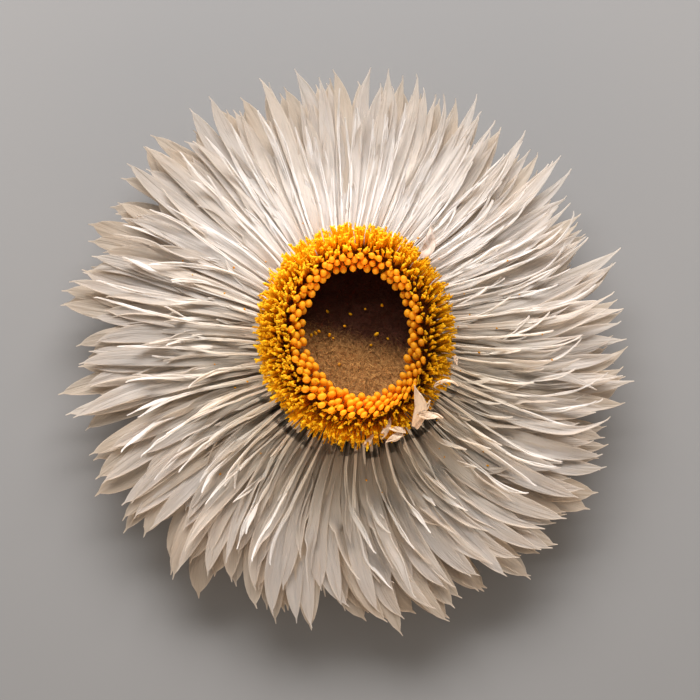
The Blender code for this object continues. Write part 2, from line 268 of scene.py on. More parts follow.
def paper_material(name, look, body, aged, dim, inner, glow_share=0.62, painted_root_shadow=False, root=None):
    """Dry papery bract: striations, a warmer root, a tan tip and rim, light let through.

    dim is how much painted shade darkens it towards its tip, and inner how much painted shade darkens it
    near the ring, where inner also turns on a painted shadow under the ring's edge; the dark root flag
    paints a shadow on the roots.
    """
    material, graph = new_material(name)
    along, across, tone, tan, rim = graph.attributes("along", "across", "tone", "tan", "rim")
    place, aside, away, _ = graph.position()
    fibres = graph.noise(graph.vector(across * 6.0, along * 2.5, tone * 40.0), 1.0, 4.0)
    folds = graph.noise(graph.vector(across * 1.7, along * 3.0, tone * 23.0), 1.0, 3.0)
    blotches = graph.noise(graph.vector(across * 0.6, along * 6.0, tone * 31.0), 1.0, 3.0)
    far = graph.smooth(away, *FAR_ZONE)
    right = graph.smooth(aside, *RIGHT_ZONE) * graph.smooth(away, *RIGHT_ZONE_FROM)
    inward = graph.falling(graph.math("SQRT", aside * aside + away * away), *INNER_SHADE_ZONE) * (1.0 - far)

    # Age turns the body, then the root and the tip show through it.
    age = graph.smooth(tone, 0.1, 1.0) * 0.4 + graph.smooth(along + blotches * 0.3, 0.4, 1.0) * 0.3
    colour = graph.mix(age * (1.0 - right * 0.3), body, aged)
    root_share = 0.35 + graph.smooth(blotches + tone * 0.2, 0.35, 0.65) * 0.65
    root_share = graph.falling(along, 0.36, 0.04) * root_share * 0.8
    colour = graph.mix(root_share, colour, root or look.root)
    # A painted shadow darkens the roots on the near half of the head, where the ring would shade them.
    if painted_root_shadow:
        root_shadow = graph.falling(along, *ROOT_SHADOW_SPAN) * graph.falling(away, *ROOT_SHADOW_ZONE)
        colour = graph.mix(root_shadow, colour, PAINTED_GAP_SHADOW)
    tip_share = graph.smooth(along + blotches * 0.2, 0.76, 1.12) + graph.smooth(rim, 0.8, 1.0) * 0.6
    colour = graph.mix(graph.math("MINIMUM", tip_share, 1.0) * tan, colour, look.tip)

    # Fibres and blotches streak it. Painted shade darkens it towards its tip, most on the far side and
    # least on the right, and near the ring away from the far side, warmer there.
    shade = 0.97 + tone * 0.07 + (fibres - 0.5) * 0.3 + (blotches - 0.5) * 0.2
    shade = shade - graph.smooth(along, 0.4, 1.0) * dim * (0.9 + far * 0.1 - right * 0.6)
    shade = shade * (1.0 - inward * inner)
    colour = graph.shaded(colour, shade, shade * (1.0 - inward * 0.09), shade * (1.0 - inward * 0.25))
    # A painted shadow, broken into patches, under the ring's edge on the near side.
    if inner:
        oval = graph.math("SQRT", aside * aside + away * away * RING_SHADOW_OVAL)
        holes = graph.smooth(graph.noise(place, HOLE_SCALE), 0.5, 0.53)
        ring_shadow = graph.falling(oval, *RING_SHADOW) * graph.falling(away, *RING_SHADOW_ZONE)
        colour = graph.mix(ring_shadow * holes, colour, PAINTED_GAP_SHADOW)
    normal = graph.bump(folds * 4.0 + fibres * 1.4, PAPER_RELIEF)
    finish_material(graph, colour, 0.42 + fibres * 0.14, normal, PAPER_GLOSS, look.glow, glow_share)
    return material


SHADED_ZONE = (-2 * MM, 10 * MM)  # along X
FAR_LIGHT_ZONE = (-2 * MM, 12 * MM)  # along Y
NEAR_LIGHT_ZONE = (-5.5 * MM, -9.5 * MM)  # along Y
NEAR_LIGHT_ZONE_END = (-13.5 * MM, -11.5 * MM)
FLORET_GLOW = 0.42
FLORET_RELIEF = 0.04 * MM
POLLEN_SCALE = 2600.0


def floret_material(name, foot, middle, mouth, roughness, near_light=0.0):
    """Floret: dark down in the ring, bright at the mouth and on the far side, with grains of pollen."""
    material, graph = new_material(name)
    rise, tone = graph.attributes("rise", "tone")
    place, aside, away, _ = graph.position()
    grains = graph.noise(place, POLLEN_SCALE)
    # Painted shade darkens the florets on the right side, and painted light brightens them on the far
    # side.
    shaded = graph.smooth(aside, *SHADED_ZONE)
    painted_light = graph.smooth(away, *FAR_LIGHT_ZONE) * 0.32 - shaded * 0.26
    # Painted light in a band on the near side: the feet are less dark there, and the buds are brighter.
    near = graph.falling(away, *NEAR_LIGHT_ZONE) * graph.smooth(away, *NEAR_LIGHT_ZONE_END)
    # The feet are dark: partly their own colour, partly painted shade deep in the ring.
    colour = graph.mix(graph.smooth(rise - shaded * 0.14 + near * 0.3, 0.12, 0.66), foot, middle)
    colour = graph.mix(graph.smooth(rise + tone * 0.25 + painted_light, 0.75, 1.15), colour, mouth)
    colour = graph.shaded(colour, 0.92 + painted_light + near * near_light + tone * 0.1 + (grains - 0.5) * 0.3)
    normal = graph.bump(grains, FLORET_RELIEF, 0.6)
    constants = {"Specular IOR Level": 0.15}
    finish_material(graph, colour, roughness + grains * 0.1, normal, constants, mouth, FLORET_GLOW)
    return material


STEM_GRAIN = (1.0, 1.0, 0.15)  # drawn out along the stem
STEM_GRAIN_SCALE = 900.0
BARK_RELIEF = 0.12 * MM
CUP_EDGE_ZONE = (7.8 * MM, 9.2 * MM)


def bark_material(name, pale, dark, edge):
    """Dry stem: two colours in lengthwise streaks, and a third near the cup's edge."""
    material, graph = new_material(name)
    place, _, _, height = graph.position()
    stretched = graph.add("ShaderNodeMapping", None, {"Vector": place, "Scale": STEM_GRAIN})
    streaks = graph.noise(stretched, STEM_GRAIN_SCALE, 5.0)
    colour = graph.mix(graph.smooth(streaks, 0.35, 0.65), dark, pale)
    colour = graph.mix(graph.smooth(height, *CUP_EDGE_ZONE), colour, edge)
    finish_material(graph, colour, 0.7 + streaks * 0.1, graph.bump(streaks, BARK_RELIEF, 0.8))
    return material


# Meshes


def new_object(name, data):
    """An object, linked to the scene."""
    obj = bpy.data.objects.new(name, data)
    bpy.context.scene.collection.objects.link(obj)
    return obj


def write_numbers(mesh, numbers):
    """Gives a mesh one number for each point under each name."""
    for title, values in numbers.items():
        layer = mesh.attributes.new(title, "FLOAT", "POINT")
        layer.data.foreach_set("value", np.asarray(values, np.float32).ravel())


def mesh_object(name, points, faces, surface, numbers=None, sharp_angle=None):
    """A smooth mesh at its place in the frame, with one number for each point under each name."""
    mesh = bpy.data.meshes.new(name)
    mesh.vertices.add(len(points))
    mesh.vertices.foreach_set("co", np.asarray(points, np.float32).ravel())
    mesh.loops.add(faces.size)
    mesh.loops.foreach_set("vertex_index", faces.astype(np.int32).ravel())
    mesh.polygons.add(len(faces))
    mesh.polygons.foreach_set("loop_start", np.arange(len(faces), dtype=np.int32) * faces.shape[1])
    mesh.update(calc_edges=True)
    mesh.polygons.foreach_set("use_smooth", np.ones(len(faces), dtype=bool))
    write_numbers(mesh, numbers or {})
    if sharp_angle:
        mesh.set_sharp_from_angle(angle=sharp_angle)
    mesh.validate()
    mesh.materials.append(surface)
    return new_object(name, mesh)


def join(obj, *others):
    """Makes one piece of several mesh objects that share their attributes' names."""
    with bpy.context.temp_override(
        active_object=obj, selected_editable_objects=[obj, *others], selected_objects=[obj, *others]
    ):
        bpy.ops.object.join()
    return obj


def dress(obj, slot, *nodes):
    """Hands a finished piece to the frame, in place of the CAD nodes named."""
    if not obj.data.polygons:
        raise RuntimeError(obj.name + " came out empty")
    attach(obj, "root")
    if nodes:
        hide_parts(*nodes)
    return obj


def turned_piece(name, profile, steps, surface, ripple):
    """A closed solid of revolution. Its profile leaves the axis at the top and meets it again below."""
    profile = np.asarray(profile)
    turn = np.linspace(0, math.tau, steps, endpoint=False)
    radius = profile[1:-1, 0][:, None] * np.ones(steps)
    height = profile[1:-1, 1][:, None] * np.ones(steps)
    radius, height = ripple(radius, height, turn)
    rings = np.stack((radius * np.cos(turn), radius * np.sin(turn), height), -1)
    count = len(rings)
    points = [(0, 0, profile[0, 1]), *rings.reshape(-1, 3), (0, 0, profile[-1, 1])]
    faces = []
    for step in range(steps):
        after = (step + 1) % steps
        faces.append((0, 1 + step, 1 + after))
        for ring in range(count - 1):
            near, far = 1 + ring * steps, 1 + (ring + 1) * steps
            faces.append((near + step, far + step, far + after))
            faces.append((near + step, far + after, near + after))
        last = 1 + (count - 1) * steps
        faces.append((last + step, len(points) - 1, last + after))
    return mesh_object(name, drawn_out(np.array(points)), np.array(faces), surface)


# Bracts


@dataclass(frozen=True, kw_only=True)
class BractKind:
    """What the bracts of one set share. A pair runs from the set's lowest tier to its highest."""

    tiers: int
    in_tier: int
    root_height: tuple
    tip_height: tuple
    root_angle: tuple  # degrees above level
    reach: tuple  # least and most of any tier, as shares of the head's radius
    width: tuple
    claw: float  # width at the root, as a share of the greatest width
    widest_at: float
    swell: float = 1.2  # how late the bract widens past its claw
    shoulder: float  # how long the bract stays broad before its tip
    point: float  # how fine its tip is: below 1 it is rounded, above 1 drawn out
    channel: float  # degrees by which each edge turns up
    fold: float  # degrees of the crease along the middle
    pleat: float  # degrees of the soft lengthwise pleats
    twist: float  # degrees, to either side
    ruffle: float  # height of the waves in its edges
    wander: float = 5  # degrees by which it strays from its way
    kinks: int = 0
    upturn: float  # how much flatter it is at its tip than on the whole, in degrees
    short_side: float = 0.0  # by what share it falls short on the slim side
    tan: float  # how tan the tip and rim are, from 0 to 1
    bare: float = 0.0  # what share of the bracts is missing on the near side
    cells: tuple = (24, 8)  # along and across


OUTER_KIND = BractKind(
    tiers=2,
    in_tier=26,
    root_height=(5.9 * MM, 6.3 * MM),
    tip_height=(4.3 * MM, 4.6 * MM),
    root_angle=(4, 6),
    reach=(0.9, 1.03),
    width=(4.2 * MM, 3.9 * MM),
    claw=0.5,
    widest_at=0.62,
    shoulder=3.0,
    point=0.62,
    channel=6,
    fold=3,
    pleat=5,
    twist=5,
    ruffle=0.06 * MM,
    upturn=4,
    short_side=0.1,
    tan=0.8,
)
BROAD_KIND = BractKind(
    tiers=3,
    in_tier=34,
    root_height=(6.6 * MM, 7.5 * MM),
    tip_height=(4.8 * MM, 5.3 * MM),
    root_angle=(7, 10),
    reach=(0.9, 1.03),
    width=(3.3 * MM, 2.9 * MM),
    claw=0.45,
    widest_at=0.64,
    shoulder=2.8,
    point=0.68,
    channel=7,
    fold=4,
    pleat=7,
    twist=6,
    ruffle=0.06 * MM,
    upturn=6,
    short_side=0.06,
    tan=0.48,
)
MIDDLE_KIND = BractKind(
    tiers=4,
    in_tier=40,
    root_height=(7.7 * MM, 8.5 * MM),
    tip_height=(5.3 * MM, 5.8 * MM),
    root_angle=(11, 15),
    reach=(0.8, 1.01),
    width=(2.7 * MM, 2.3 * MM),
    claw=0.46,
    widest_at=0.66,
    shoulder=2.5,
    point=0.74,
    channel=9,
    fold=8,
    pleat=10,
    twist=7,
    ruffle=0.07 * MM,
    upturn=12,
    tan=0.28,
    cells=(25, 10),
)
CREASED_KIND = BractKind(
    tiers=3,
    in_tier=42,
    root_height=(8.7 * MM, 9.0 * MM),
    tip_height=(5.9 * MM, 6.4 * MM),
    root_angle=(10, 14),
    reach=(0.62, 0.95),
    width=(1.9 * MM, 1.5 * MM),
    claw=0.4,
    widest_at=0.68,
    swell=1.4,
    shoulder=2.0,
    point=0.88,
    channel=14,
    fold=18,
    pleat=16,
    twist=11,
    ruffle=0.09 * MM,
    kinks=1,
    upturn=14,
    tan=0.15,
    cells=(30, 10),
)
RIBBON_KIND = BractKind(
    tiers=4,
    in_tier=58,
    root_height=(9.1 * MM, 10.0 * MM),
    tip_height=(6.6 * MM, 7.8 * MM),
    root_angle=(14, 20),
    reach=(0.46, 0.9),
    width=(0.78 * MM, 0.44 * MM),
    claw=0.5,
    widest_at=0.84,
    swell=3.0,
    shoulder=1.5,
    point=0.8,
    channel=30,
    fold=40,
    pleat=14,
    twist=34,
    ruffle=0.12 * MM,
    wander=8,
    kinks=1,
    upturn=30,
    tan=0.05,
    bare=0.66,
    cells=(30, 4),
)

PAPER_THICKNESS = 0.12 * MM
FOLD_EDGE = math.radians(50)  # paper folded more sharply than this shows an edge
ROOT_RISE = 7  # the greater, the sooner a bract turns down from the rise at its root
TIP_CROWDING = 0.4  # how much closer a bract's rows of points stand towards its tip
MUCRO_HALF_WIDTHS = (0.09 * MM, 0.03 * MM)  # where the needle at the tip starts, and where it ends
ROOT_SINK = 0.5 * MM  # how far a root reaches into the cup
SHINGLE_ANGLE = math.radians(4)  # each bract lies with one edge over its neighbour
MUCRO_FROM = 0.977
HOOK_FROM = 0.7
HOOK = (4, 9)  # mean and spread in degrees of the sideways turn towards a tip
NEEDLE_HOOK = (16, 16)  # of the further turn in its needle
NEEDLE_CLIMB = (4, 14)  # and of the needle's turn up or down
BEND_KINK, TURN_KINK, TWIST_KINK = (math.radians(angle) for angle in (9, 13, 70))
BRACT_JITTER = 0.14  # how far a bract strays from its place, as a share of the space between two
TIER_TURN = 0.38  # how far each tier is turned against the one below, as a share of that space
PLEATS = (1.5, 2.7, 4.1)  # pleats across a bract
CREASE_WIDTH = 0.14  # as a share of its half width
KINK_LENGTH = 0.02  # as a share of the bract's length
KINK_PLACES = (0.3, 0.85)
TIP_SCATTER = 0.2 * MM  # in height
ROOT_SCATTER = 2  # degrees
WIDTHS = (0.84, 1.1)  # least and most, as shares of the mean
CREASES_UP = 0.6  # the share of the bracts that are creased upwards
CREASE_SCATTER = 0.12  # how far creases lie off the middle, as a share of the half width
ROLL_FROM = 0.6  # where the rolled edge begins
EDGE_WAVE = (5, 9)  # lengths in millimetres of the waves in the edges
LOW_WAVE = (6, 14)  # and of the low waves all over
LOW_WAVES = 3
LOW_WAVE_SHARE = 0.6  # of the height of the waves in the edges
TANS = (0.6, 1.0)  # least and most, as shares of the kind's own
SLIM_TAN = 0.7  # how much less tan the slim bracts are
CALM_AZIMUTH = math.radians(92)  # where the bracts lie straight
CALM = 0.75
SLIM_AZIMUTH = math.radians(45)
SLIM_WIDTH = 0.3  # by what share the bracts are narrower there
SLIM_POINT = 0.36  # how much finer their tips are


def running_total(values, places, axis=0):
    """The integral of values over their places, by trapezoids, from 0 at the first of them."""
    values = np.moveaxis(values, axis, 0)
    steps = np.diff(places).reshape(-1, *[1] * (values.ndim - 1))
    middles = (values[1:] + values[:-1]) / 2 * steps
    total = np.concatenate((np.zeros_like(values[:1]), np.cumsum(middles, 0)))
    return np.moveaxis(total, 0, axis)


def cup_radius_at(height):
    """The receptacle's radius at a height, on its flare or its wall."""
    profile = (*FLARE, (CUP_RADIUS, CUP_TOP - CUP_EDGE))
    radii, heights = zip(*profile)
    return float(np.interp(height, heights, radii))


def half_widths(along, kind, width, slim):
    """A bract's half width: a narrow claw, a swell, and a taper that ends in a fine point."""
    swell = np.sin(math.pi / 2 * np.minimum(along / kind.widest_at, 1)) ** kind.swell
    swell = kind.claw + (1 - kind.claw) * swell
    past = np.clip((along - kind.widest_at) / (MUCRO_FROM - kind.widest_at), 0, 1)
    taper = (1 - past**kind.shoulder) ** (kind.point + SLIM_POINT * slim)
    needle = between(MUCRO_HALF_WIDTHS, np.clip((along - MUCRO_FROM) / (1 - MUCRO_FROM), 0, 1))
    return np.maximum(width / 2 * swell * taper, needle)


def slim_at(azimuth):
    """1 where the bracts are slim, 0 on the other side of the head."""
    return max(math.cos(azimuth - SLIM_AZIMUTH), 0.0)


def crumple_at(azimuth):
    """How strongly the bracts that point one way are crumpled."""
    return 1.1 - CALM * max(math.cos(azimuth - CALM_AZIMUTH), 0.0) ** 1.5


def kinked(along, count, size, chance):
    """Sudden turns at random places along a bract, as crumpled paper has them."""
    turn = np.zeros_like(along)
    for _ in range(count):
        place = chance.uniform(*KINK_PLACES)
        turn += chance.uniform(-size, size) * (1 + np.tanh((along - place) / KINK_LENGTH)) / 2
    return turn


def centre_line(kind, share, azimuth, along, chance):
    """Directions along a bract, as climb and heading, and the point at which it starts."""
    root_height = between(kind.root_height, share)
    root_radius = cup_radius_at(root_height) - ROOT_SINK
    start = np.array((root_radius * math.cos(azimuth), root_radius * math.sin(azimuth), root_height))
    reach = HEAD_RADIUS * chance.uniform(*kind.reach) * (1 - kind.short_side * slim_at(azimuth))
    spread = reach - root_radius
    tip_height = between(kind.tip_height, share) + chance.normal(0, TIP_SCATTER)
    slope = math.atan2(tip_height - root_height, spread)
    root_climb = math.radians(between(kind.root_angle, share) + chance.normal(0, ROOT_SCATTER))
    tip_climb = slope + math.radians(kind.upturn)
    shoulder_climb = 2 * (slope - root_climb / (ROOT_RISE + 1)) - tip_climb
    climb = shoulder_climb + (tip_climb - shoulder_climb) * along
    climb += (root_climb - shoulder_climb) * (1 - along) ** ROOT_RISE
    crumple = crumple_at(azimuth)
    wander = math.radians(kind.wander) * crumple
    needle = smooth_step((along - MUCRO_FROM) / (1 - MUCRO_FROM))
    climb += wander / 4 * np.sin(math.tau * (along * 1.3 + chance.uniform(0, 1)))
    climb += math.radians(chance.normal(*NEEDLE_CLIMB)) * needle
    climb += kinked(along, kind.kinks, BEND_KINK * crumple, chance)
    sweep = SWEEP_MEAN + SWEEP_ALONG_X * math.cos(azimuth) + SWEEP_ALONG_Y * math.sin(azimuth)
    sweep += chance.normal(0, wander * 0.8)
    heading = azimuth + SWEEP_START + sweep * along**1.1
    heading += math.radians(chance.normal(*HOOK)) * smooth_step((along - HOOK_FROM) / (1 - HOOK_FROM))
    heading += math.radians(chance.normal(*NEEDLE_HOOK)) * needle
    heading += wander / 2 * np.sin(math.tau * (along * 0.9 + chance.uniform(0, 1)))
    heading += kinked(along, kind.kinks, TURN_KINK * crumple, chance)
    return start, climb, heading, reach


def directions(climb, heading):
    """Unit vectors ahead, to the left and upwards at each place on a bract."""
    level = np.cos(climb)
    ahead = np.stack((level * np.cos(heading), level * np.sin(heading), np.sin(climb)), -1)
    left = np.stack((-np.sin(heading), np.cos(heading), np.zeros_like(heading)), -1)
    return ahead, left, np.cross(ahead, left)


def spread_out(middle, side, normal, aside, lift):
    """A grid of points laid aside from and above each place on a middle line."""
    return middle[:, None] + side[:, None] * aside[..., None] + normal[:, None] * lift[..., None]


def length_to_reach(start, run, reach):
    """How long a bract is whose tip ends at a given distance from the head's middle."""
    offset = start[:2] - HEAD_CENTRE
    a = run @ run
    b = offset @ run
    c = offset @ offset - reach * reach
    return (-b + math.sqrt(b * b - a * c)) / a


def bract_surface(kind, share, azimuth, chance):
    """The middle surface of one bract as a grid of points, with its numbers for the material."""
    along = np.linspace(0, 1, kind.cells[0] + 1)
    along = along * (1 + TIP_CROWDING * (1 - along))
    across = np.linspace(-1, 1, kind.cells[1] + 1)
    start, climb, heading, reach = centre_line(kind, share, azimuth, along, chance)
    ahead, left, upward = directions(climb, heading)
    run = running_total(ahead, along)
    length = length_to_reach(start, run[-1, :2], reach)
    middle = start + length * run
    crumple = crumple_at(azimuth)
    most = math.radians(kind.twist) * crumple
    twist = SHINGLE_ANGLE + chance.normal(0, most / 4)
    twist = twist + chance.uniform(-most, most) * smooth_step(along)
    twist = (twist + kinked(along, kind.kinks, TWIST_KINK * crumple, chance))[:, None]
    side = left * np.cos(twist) + upward * np.sin(twist)
    normal = upward * np.cos(twist) - left * np.sin(twist)
    slim = slim_at(azimuth)
    width = between(kind.width, share) * chance.uniform(*WIDTHS) * (1 - SLIM_WIDTH * slim)
    half = half_widths(along, kind, width, slim)
    slope = section_slope(kind, along, across, chance)
    over = running_total(np.cos(slope), across, 1)
    up = running_total(np.sin(slope), across, 1)
    centre = kind.cells[1] // 2
    over -= over[:, centre : centre + 1]
    up -= up[:, centre : centre + 1]
    lift = half[:, None] * up + edge_ruffle(kind, along, across, length, half, chance)
    points = spread_out(middle, side, normal, half[:, None] * over, lift)
    numbers = {
        "along": along[:, None] * np.ones_like(across),
        "across": half[:, None] * across / MM,
        "rim": np.ones_like(along)[:, None] * np.abs(across),
    }
    return points, numbers


def section_slope(kind, along, across, chance):
    """The angle of a bract's cross-section at each point: channel, crease, pleats and rolled edges."""
    along = along[:, None]
    across = across[None, :]
    channel = math.radians(kind.channel) * chance.uniform(0.6, 1.3) * (0.8 + 0.4 * along)
    way = 1 if chance.uniform() < CREASES_UP else -1
    crease = math.radians(kind.fold) * way * chance.uniform(0.5, 1.2) * smooth_step(along * 3)
    waves = along * chance.uniform(0.7, 1.4) + chance.uniform()
    crease = crease * (0.8 + 0.35 * np.sin(math.tau * waves))
    off_middle = chance.normal(0, CREASE_SCATTER)
    slope = channel * across + crease * np.tanh((across - off_middle) / CREASE_WIDTH)
    slope = slope * smooth_step(along * 4)
    for pleats in PLEATS:
        size = math.radians(kind.pleat) * chance.uniform(0.4, 1.1)
        drift = chance.uniform(0, math.tau) + chance.uniform(-1.5, 1.5) * along
        slope = slope + size * np.sin(math.pi * pleats * across + drift) * (0.6 + 0.4 * along)
    roll = math.radians(kind.channel) * chance.uniform(0, 1.1)
    slope = slope + roll * np.sign(across) * smooth_step((np.abs(across) - ROLL_FROM) / (1 - ROLL_FROM))
    return slope


def edge_ruffle(kind, along, across, length, half, chance):
    """Height added by wavy edges and by the low waves of dry paper."""
    lift = np.zeros((len(along), len(across)))
    for edge in (-1, 1):
        waves = length / MM / chance.uniform(*EDGE_WAVE)
        wave = np.sin(math.tau * (waves * along + chance.uniform()))[:, None]
        lift += kind.ruffle * wave * np.clip(across * edge, 0, 1) ** 2
    for _ in range(LOW_WAVES):
        waves = length / MM / chance.uniform(*LOW_WAVE)
        slant = chance.uniform(-0.8, 0.8)
        phase = waves * along[:, None] + slant * across + chance.uniform()
        lift += kind.ruffle * LOW_WAVE_SHARE * np.sin(math.tau * phase)
    return lift * np.minimum(half / half.max(), 1)[:, None]


def shell_faces(rows, columns):
    """Faces of a closed thin shell: an upper grid, a lower grid and the four walls between them."""
    upper = np.arange(rows * columns).reshape(rows, columns)
    lower = upper + rows * columns

    quads = (
        (upper[:-1, :-1], upper[1:, :-1], upper[1:, 1:], upper[:-1, 1:]),
        (lower[:-1, :-1], lower[:-1, 1:], lower[1:, 1:], lower[1:, :-1]),
        (upper[:-1, 0], lower[:-1, 0], lower[1:, 0], upper[1:, 0]),
        (upper[:-1, -1], upper[1:, -1], lower[1:, -1], lower[:-1, -1]),
        (upper[0, :-1], upper[0, 1:], lower[0, 1:], lower[0, :-1]),
        (upper[-1, :-1], lower[-1, :-1], lower[-1, 1:], upper[-1, 1:]),
    )
    return np.concatenate([np.stack(corners, -1).reshape(-1, 4) for corners in quads])


def thickened(surface, thickness):
    """The two faces of a thin shell about a grid of points."""
    across = np.gradient(surface, axis=1)
    along = np.gradient(surface, axis=0)
    normal = np.cross(along, across)
    normal /= np.maximum(np.linalg.norm(normal, axis=-1, keepdims=True), 1e-12)
    return surface + normal * thickness / 2, surface - normal * thickness / 2


def shells_object(name, shells, surface):
    """One mesh of many thin shells, each a grid of points with its numbers for the material."""
    points, faces, numbers = [], [], {}
    first = 0
    for grid, values in shells:
        upper, lower = thickened(grid, PAPER_THICKNESS)
        faces.append(shell_faces(*grid.shape[:2]) + first)
        points += [upper.reshape(-1, 3), lower.reshape(-1, 3)]
        first += 2 * grid.shape[0] * grid.shape[1]
        for title, value in values.items():
            numbers.setdefault(title, []).extend((np.ravel(value), np.ravel(value)))
    numbers = {title: np.concatenate(parts) for title, parts in numbers.items()}
    points = drawn_out(np.concatenate(points))
    return mesh_object(name, points, np.concatenate(faces), surface, numbers, FOLD_EDGE)


def bract_set(name, kind, first_tier, surface):
    """Every bract of one kind, tier by tier, each tier turned against the one below."""
    chance = np.random.default_rng(bpy.context.scene.strawflower_bracts.seed + first_tier)
    shells = []
    step = math.tau / kind.in_tier
    for tier in range(kind.tiers):
        share = tier / (kind.tiers - 1)
        for index in range(kind.in_tier):
            place = index + TIER_TURN * (first_tier + tier) + chance.normal(0, BRACT_JITTER)
            azimuth = step * place
            if chance.uniform() < kind.bare * max(-math.sin(azimuth), 0) ** 3:
                continue
            grid, numbers = bract_surface(kind, share, azimuth, chance)
            tone = chance.uniform(-1, 1)
            tan = kind.tan * chance.uniform(*TANS) * (1 - SLIM_TAN * slim_at(azimuth))
            size = grid.shape[:2]
            numbers.update(tone=np.full(size, tone), tan=np.full(size, tan))
            shells.append((grid, numbers))
    return shells_object(name, shells, surface)


def colour_property(name, description, *colour):
    return FloatVectorProperty(name=name, description=description, default=colour, subtype="COLOR")


class BractSettings(bpy.types.PropertyGroup):
    """Colours of the papery bracts, and what starts their random turns."""

    seed: IntProperty(name="Seed", description="Starts the bracts' random turns and folds", default=5)
    cream: colour_property("Cream", "Lower bracts", 0.79, 0.70, 0.59)
    white: colour_property("White", "Upper bracts", 0.91, 0.89, 0.87)
    bright: colour_property("Bright", "Thin topmost bracts", 0.96, 0.95, 0.94)
    pink: colour_property("Pink", "Crumpled scales at the ring's edge", 0.84, 0.70, 0.61)
    blush: colour_property("Blush", "Roots of the crumpled scales", 0.78, 0.58, 0.44)
    glow: colour_property("Glow", "Light that comes through a bract", 0.93, 0.86, 0.785)
    root: colour_property("Root", "Where a bract leaves the cup", 0.74, 0.57, 0.45)
    tip: colour_property("Tip", "Tips and rims", 0.52, 0.38, 0.25)


# How much painted shade darkens the bracts towards their tips and near the ring.
TIP_SHADE = 0.27
INNER_SHADE = 0.55
BRIGHT_INNER_SHADE = 0.1
BRIGHT_GLOW = 0.5
PINK_GLOW = 0.15


class STRAWFLOWER_OT_lower_bracts(bpy.types.Operator):
    """Build the broad cream bracts of the lower tiers"""

    bl_idname = "strawflower.lower_bracts"
    bl_label = "Lower Bracts"

    def execute(self, context):
        look = context.scene.strawflower_bracts
        cream = look.cream
        paper = paper_material("cream paper", look, cream, cream, TIP_SHADE, INNER_SHADE, painted_root_shadow=True)
        dress(bract_set("outer_bracts", OUTER_KIND, 0, paper), "cream_bract", "lower_bracts")
        dress(bract_set("broad_bracts", BROAD_KIND, 2, paper), "cream_bract", "lower_bracts")
        return {"FINISHED"}


class STRAWFLOWER_OT_upper_bracts(bpy.types.Operator):
    """Build the white bracts of the upper tiers, which grow narrower and more crumpled inwards"""

    bl_idname = "strawflower.upper_bracts"
    bl_label = "Upper Bracts"

    def execute(self, context):
        look = context.scene.strawflower_bracts
        white = (look, look.white, look.cream, TIP_SHADE, INNER_SHADE)
        paper = paper_material("white paper", *white)
        under = paper_material("white paper with painted root shadow", *white, painted_root_shadow=True)
        bright = (look.bright, look.bright, 0.0, BRIGHT_INNER_SHADE, BRIGHT_GLOW)
        bright = paper_material("bright paper", look, *bright)
        dress(bract_set("middle_bracts", MIDDLE_KIND, 5, under), "white_bract", "upper_bracts")
        dress(bract_set("creased_bracts", CREASED_KIND, 9, paper), "white_bract", "upper_bracts")
        dress(bract_set("ribbon_bracts", RIBBON_KIND, 12, bright), "white_bract", "upper_bracts")
        return {"FINISHED"}


# Florets, buds and fuzz


class DiscSettings(bpy.types.PropertyGroup):
    """Numbers and colours of the florets, the buds and the fuzz."""

    seed: IntProperty(name="Seed", description="Starts the florets' random leans", default=3)
    floret_rows: IntProperty(
        name="Floret rows", description="Rows in each set of open florets", default=6, min=2
    )
    florets_in_row: IntProperty(
        name="Florets in a row", description="Open florets in each row", default=140, min=8
    )
    bud_rows: IntProperty(name="Bud rows", description="Rows of unopened florets", default=5, min=4)
    buds_in_row: IntProperty(name="Buds in a row", description="Buds in each row", default=42, min=8)
    hairs: IntProperty(name="Hairs", description="Hairs of the fuzz", default=6200, min=10)
    hair_length: FloatProperty(
        name="Hair length", description="Length of a hair", default=1.0 * MM, unit="LENGTH", precision=5
    )
    # Partly the florets' own colour and partly painted shade deep in the ring.
    foot_colour: colour_property("Foot", "Florets down in the ring", 0.16, 0.03, 0.002)
    floret_colour: colour_property("Floret", "Tubes of the open florets", 1.0, 0.52, 0.006)
    mouth_colour: colour_property("Mouth", "Open mouths of the florets", 1.0, 0.67, 0.02)
    bud_colour: colour_property("Bud", "Unopened florets", 0.97, 0.45, 0.016)
    fuzz_colour: colour_property("Fuzz", "Hairs in the hollow", 0.86, 0.46, 0.15)


# The outline of the florets' crowded feet, as radius and height.
RING_CORE = ((7.3 * MM, 12.6 * MM), (8.6 * MM, 13.6 * MM), (9.6 * MM, 12.6 * MM), (9.9 * MM, 11.2 * MM))
RING_CORE_TOP = 12.4 * MM  # above this it is as dark as a floret's foot
RING_CORE_TUCK = 0.9 * MM  # how far its outer foot lies under its outer edge
RING_CORE_STEPS = 64


@dataclass(frozen=True)
class FloretKind:
    """The shape and the rows of one set of open florets. A pair runs from its inner row to its outer."""

    length: float
    tube_radius: float
    bow: float  # how far its mouth is off its foot's line
    style_length: float
    style_radius: float
    spread: tuple  # how far the style's branches part, as shares of their length
    radius: tuple
    height: tuple
    lean: tuple  # degrees outwards
    outer_size: float


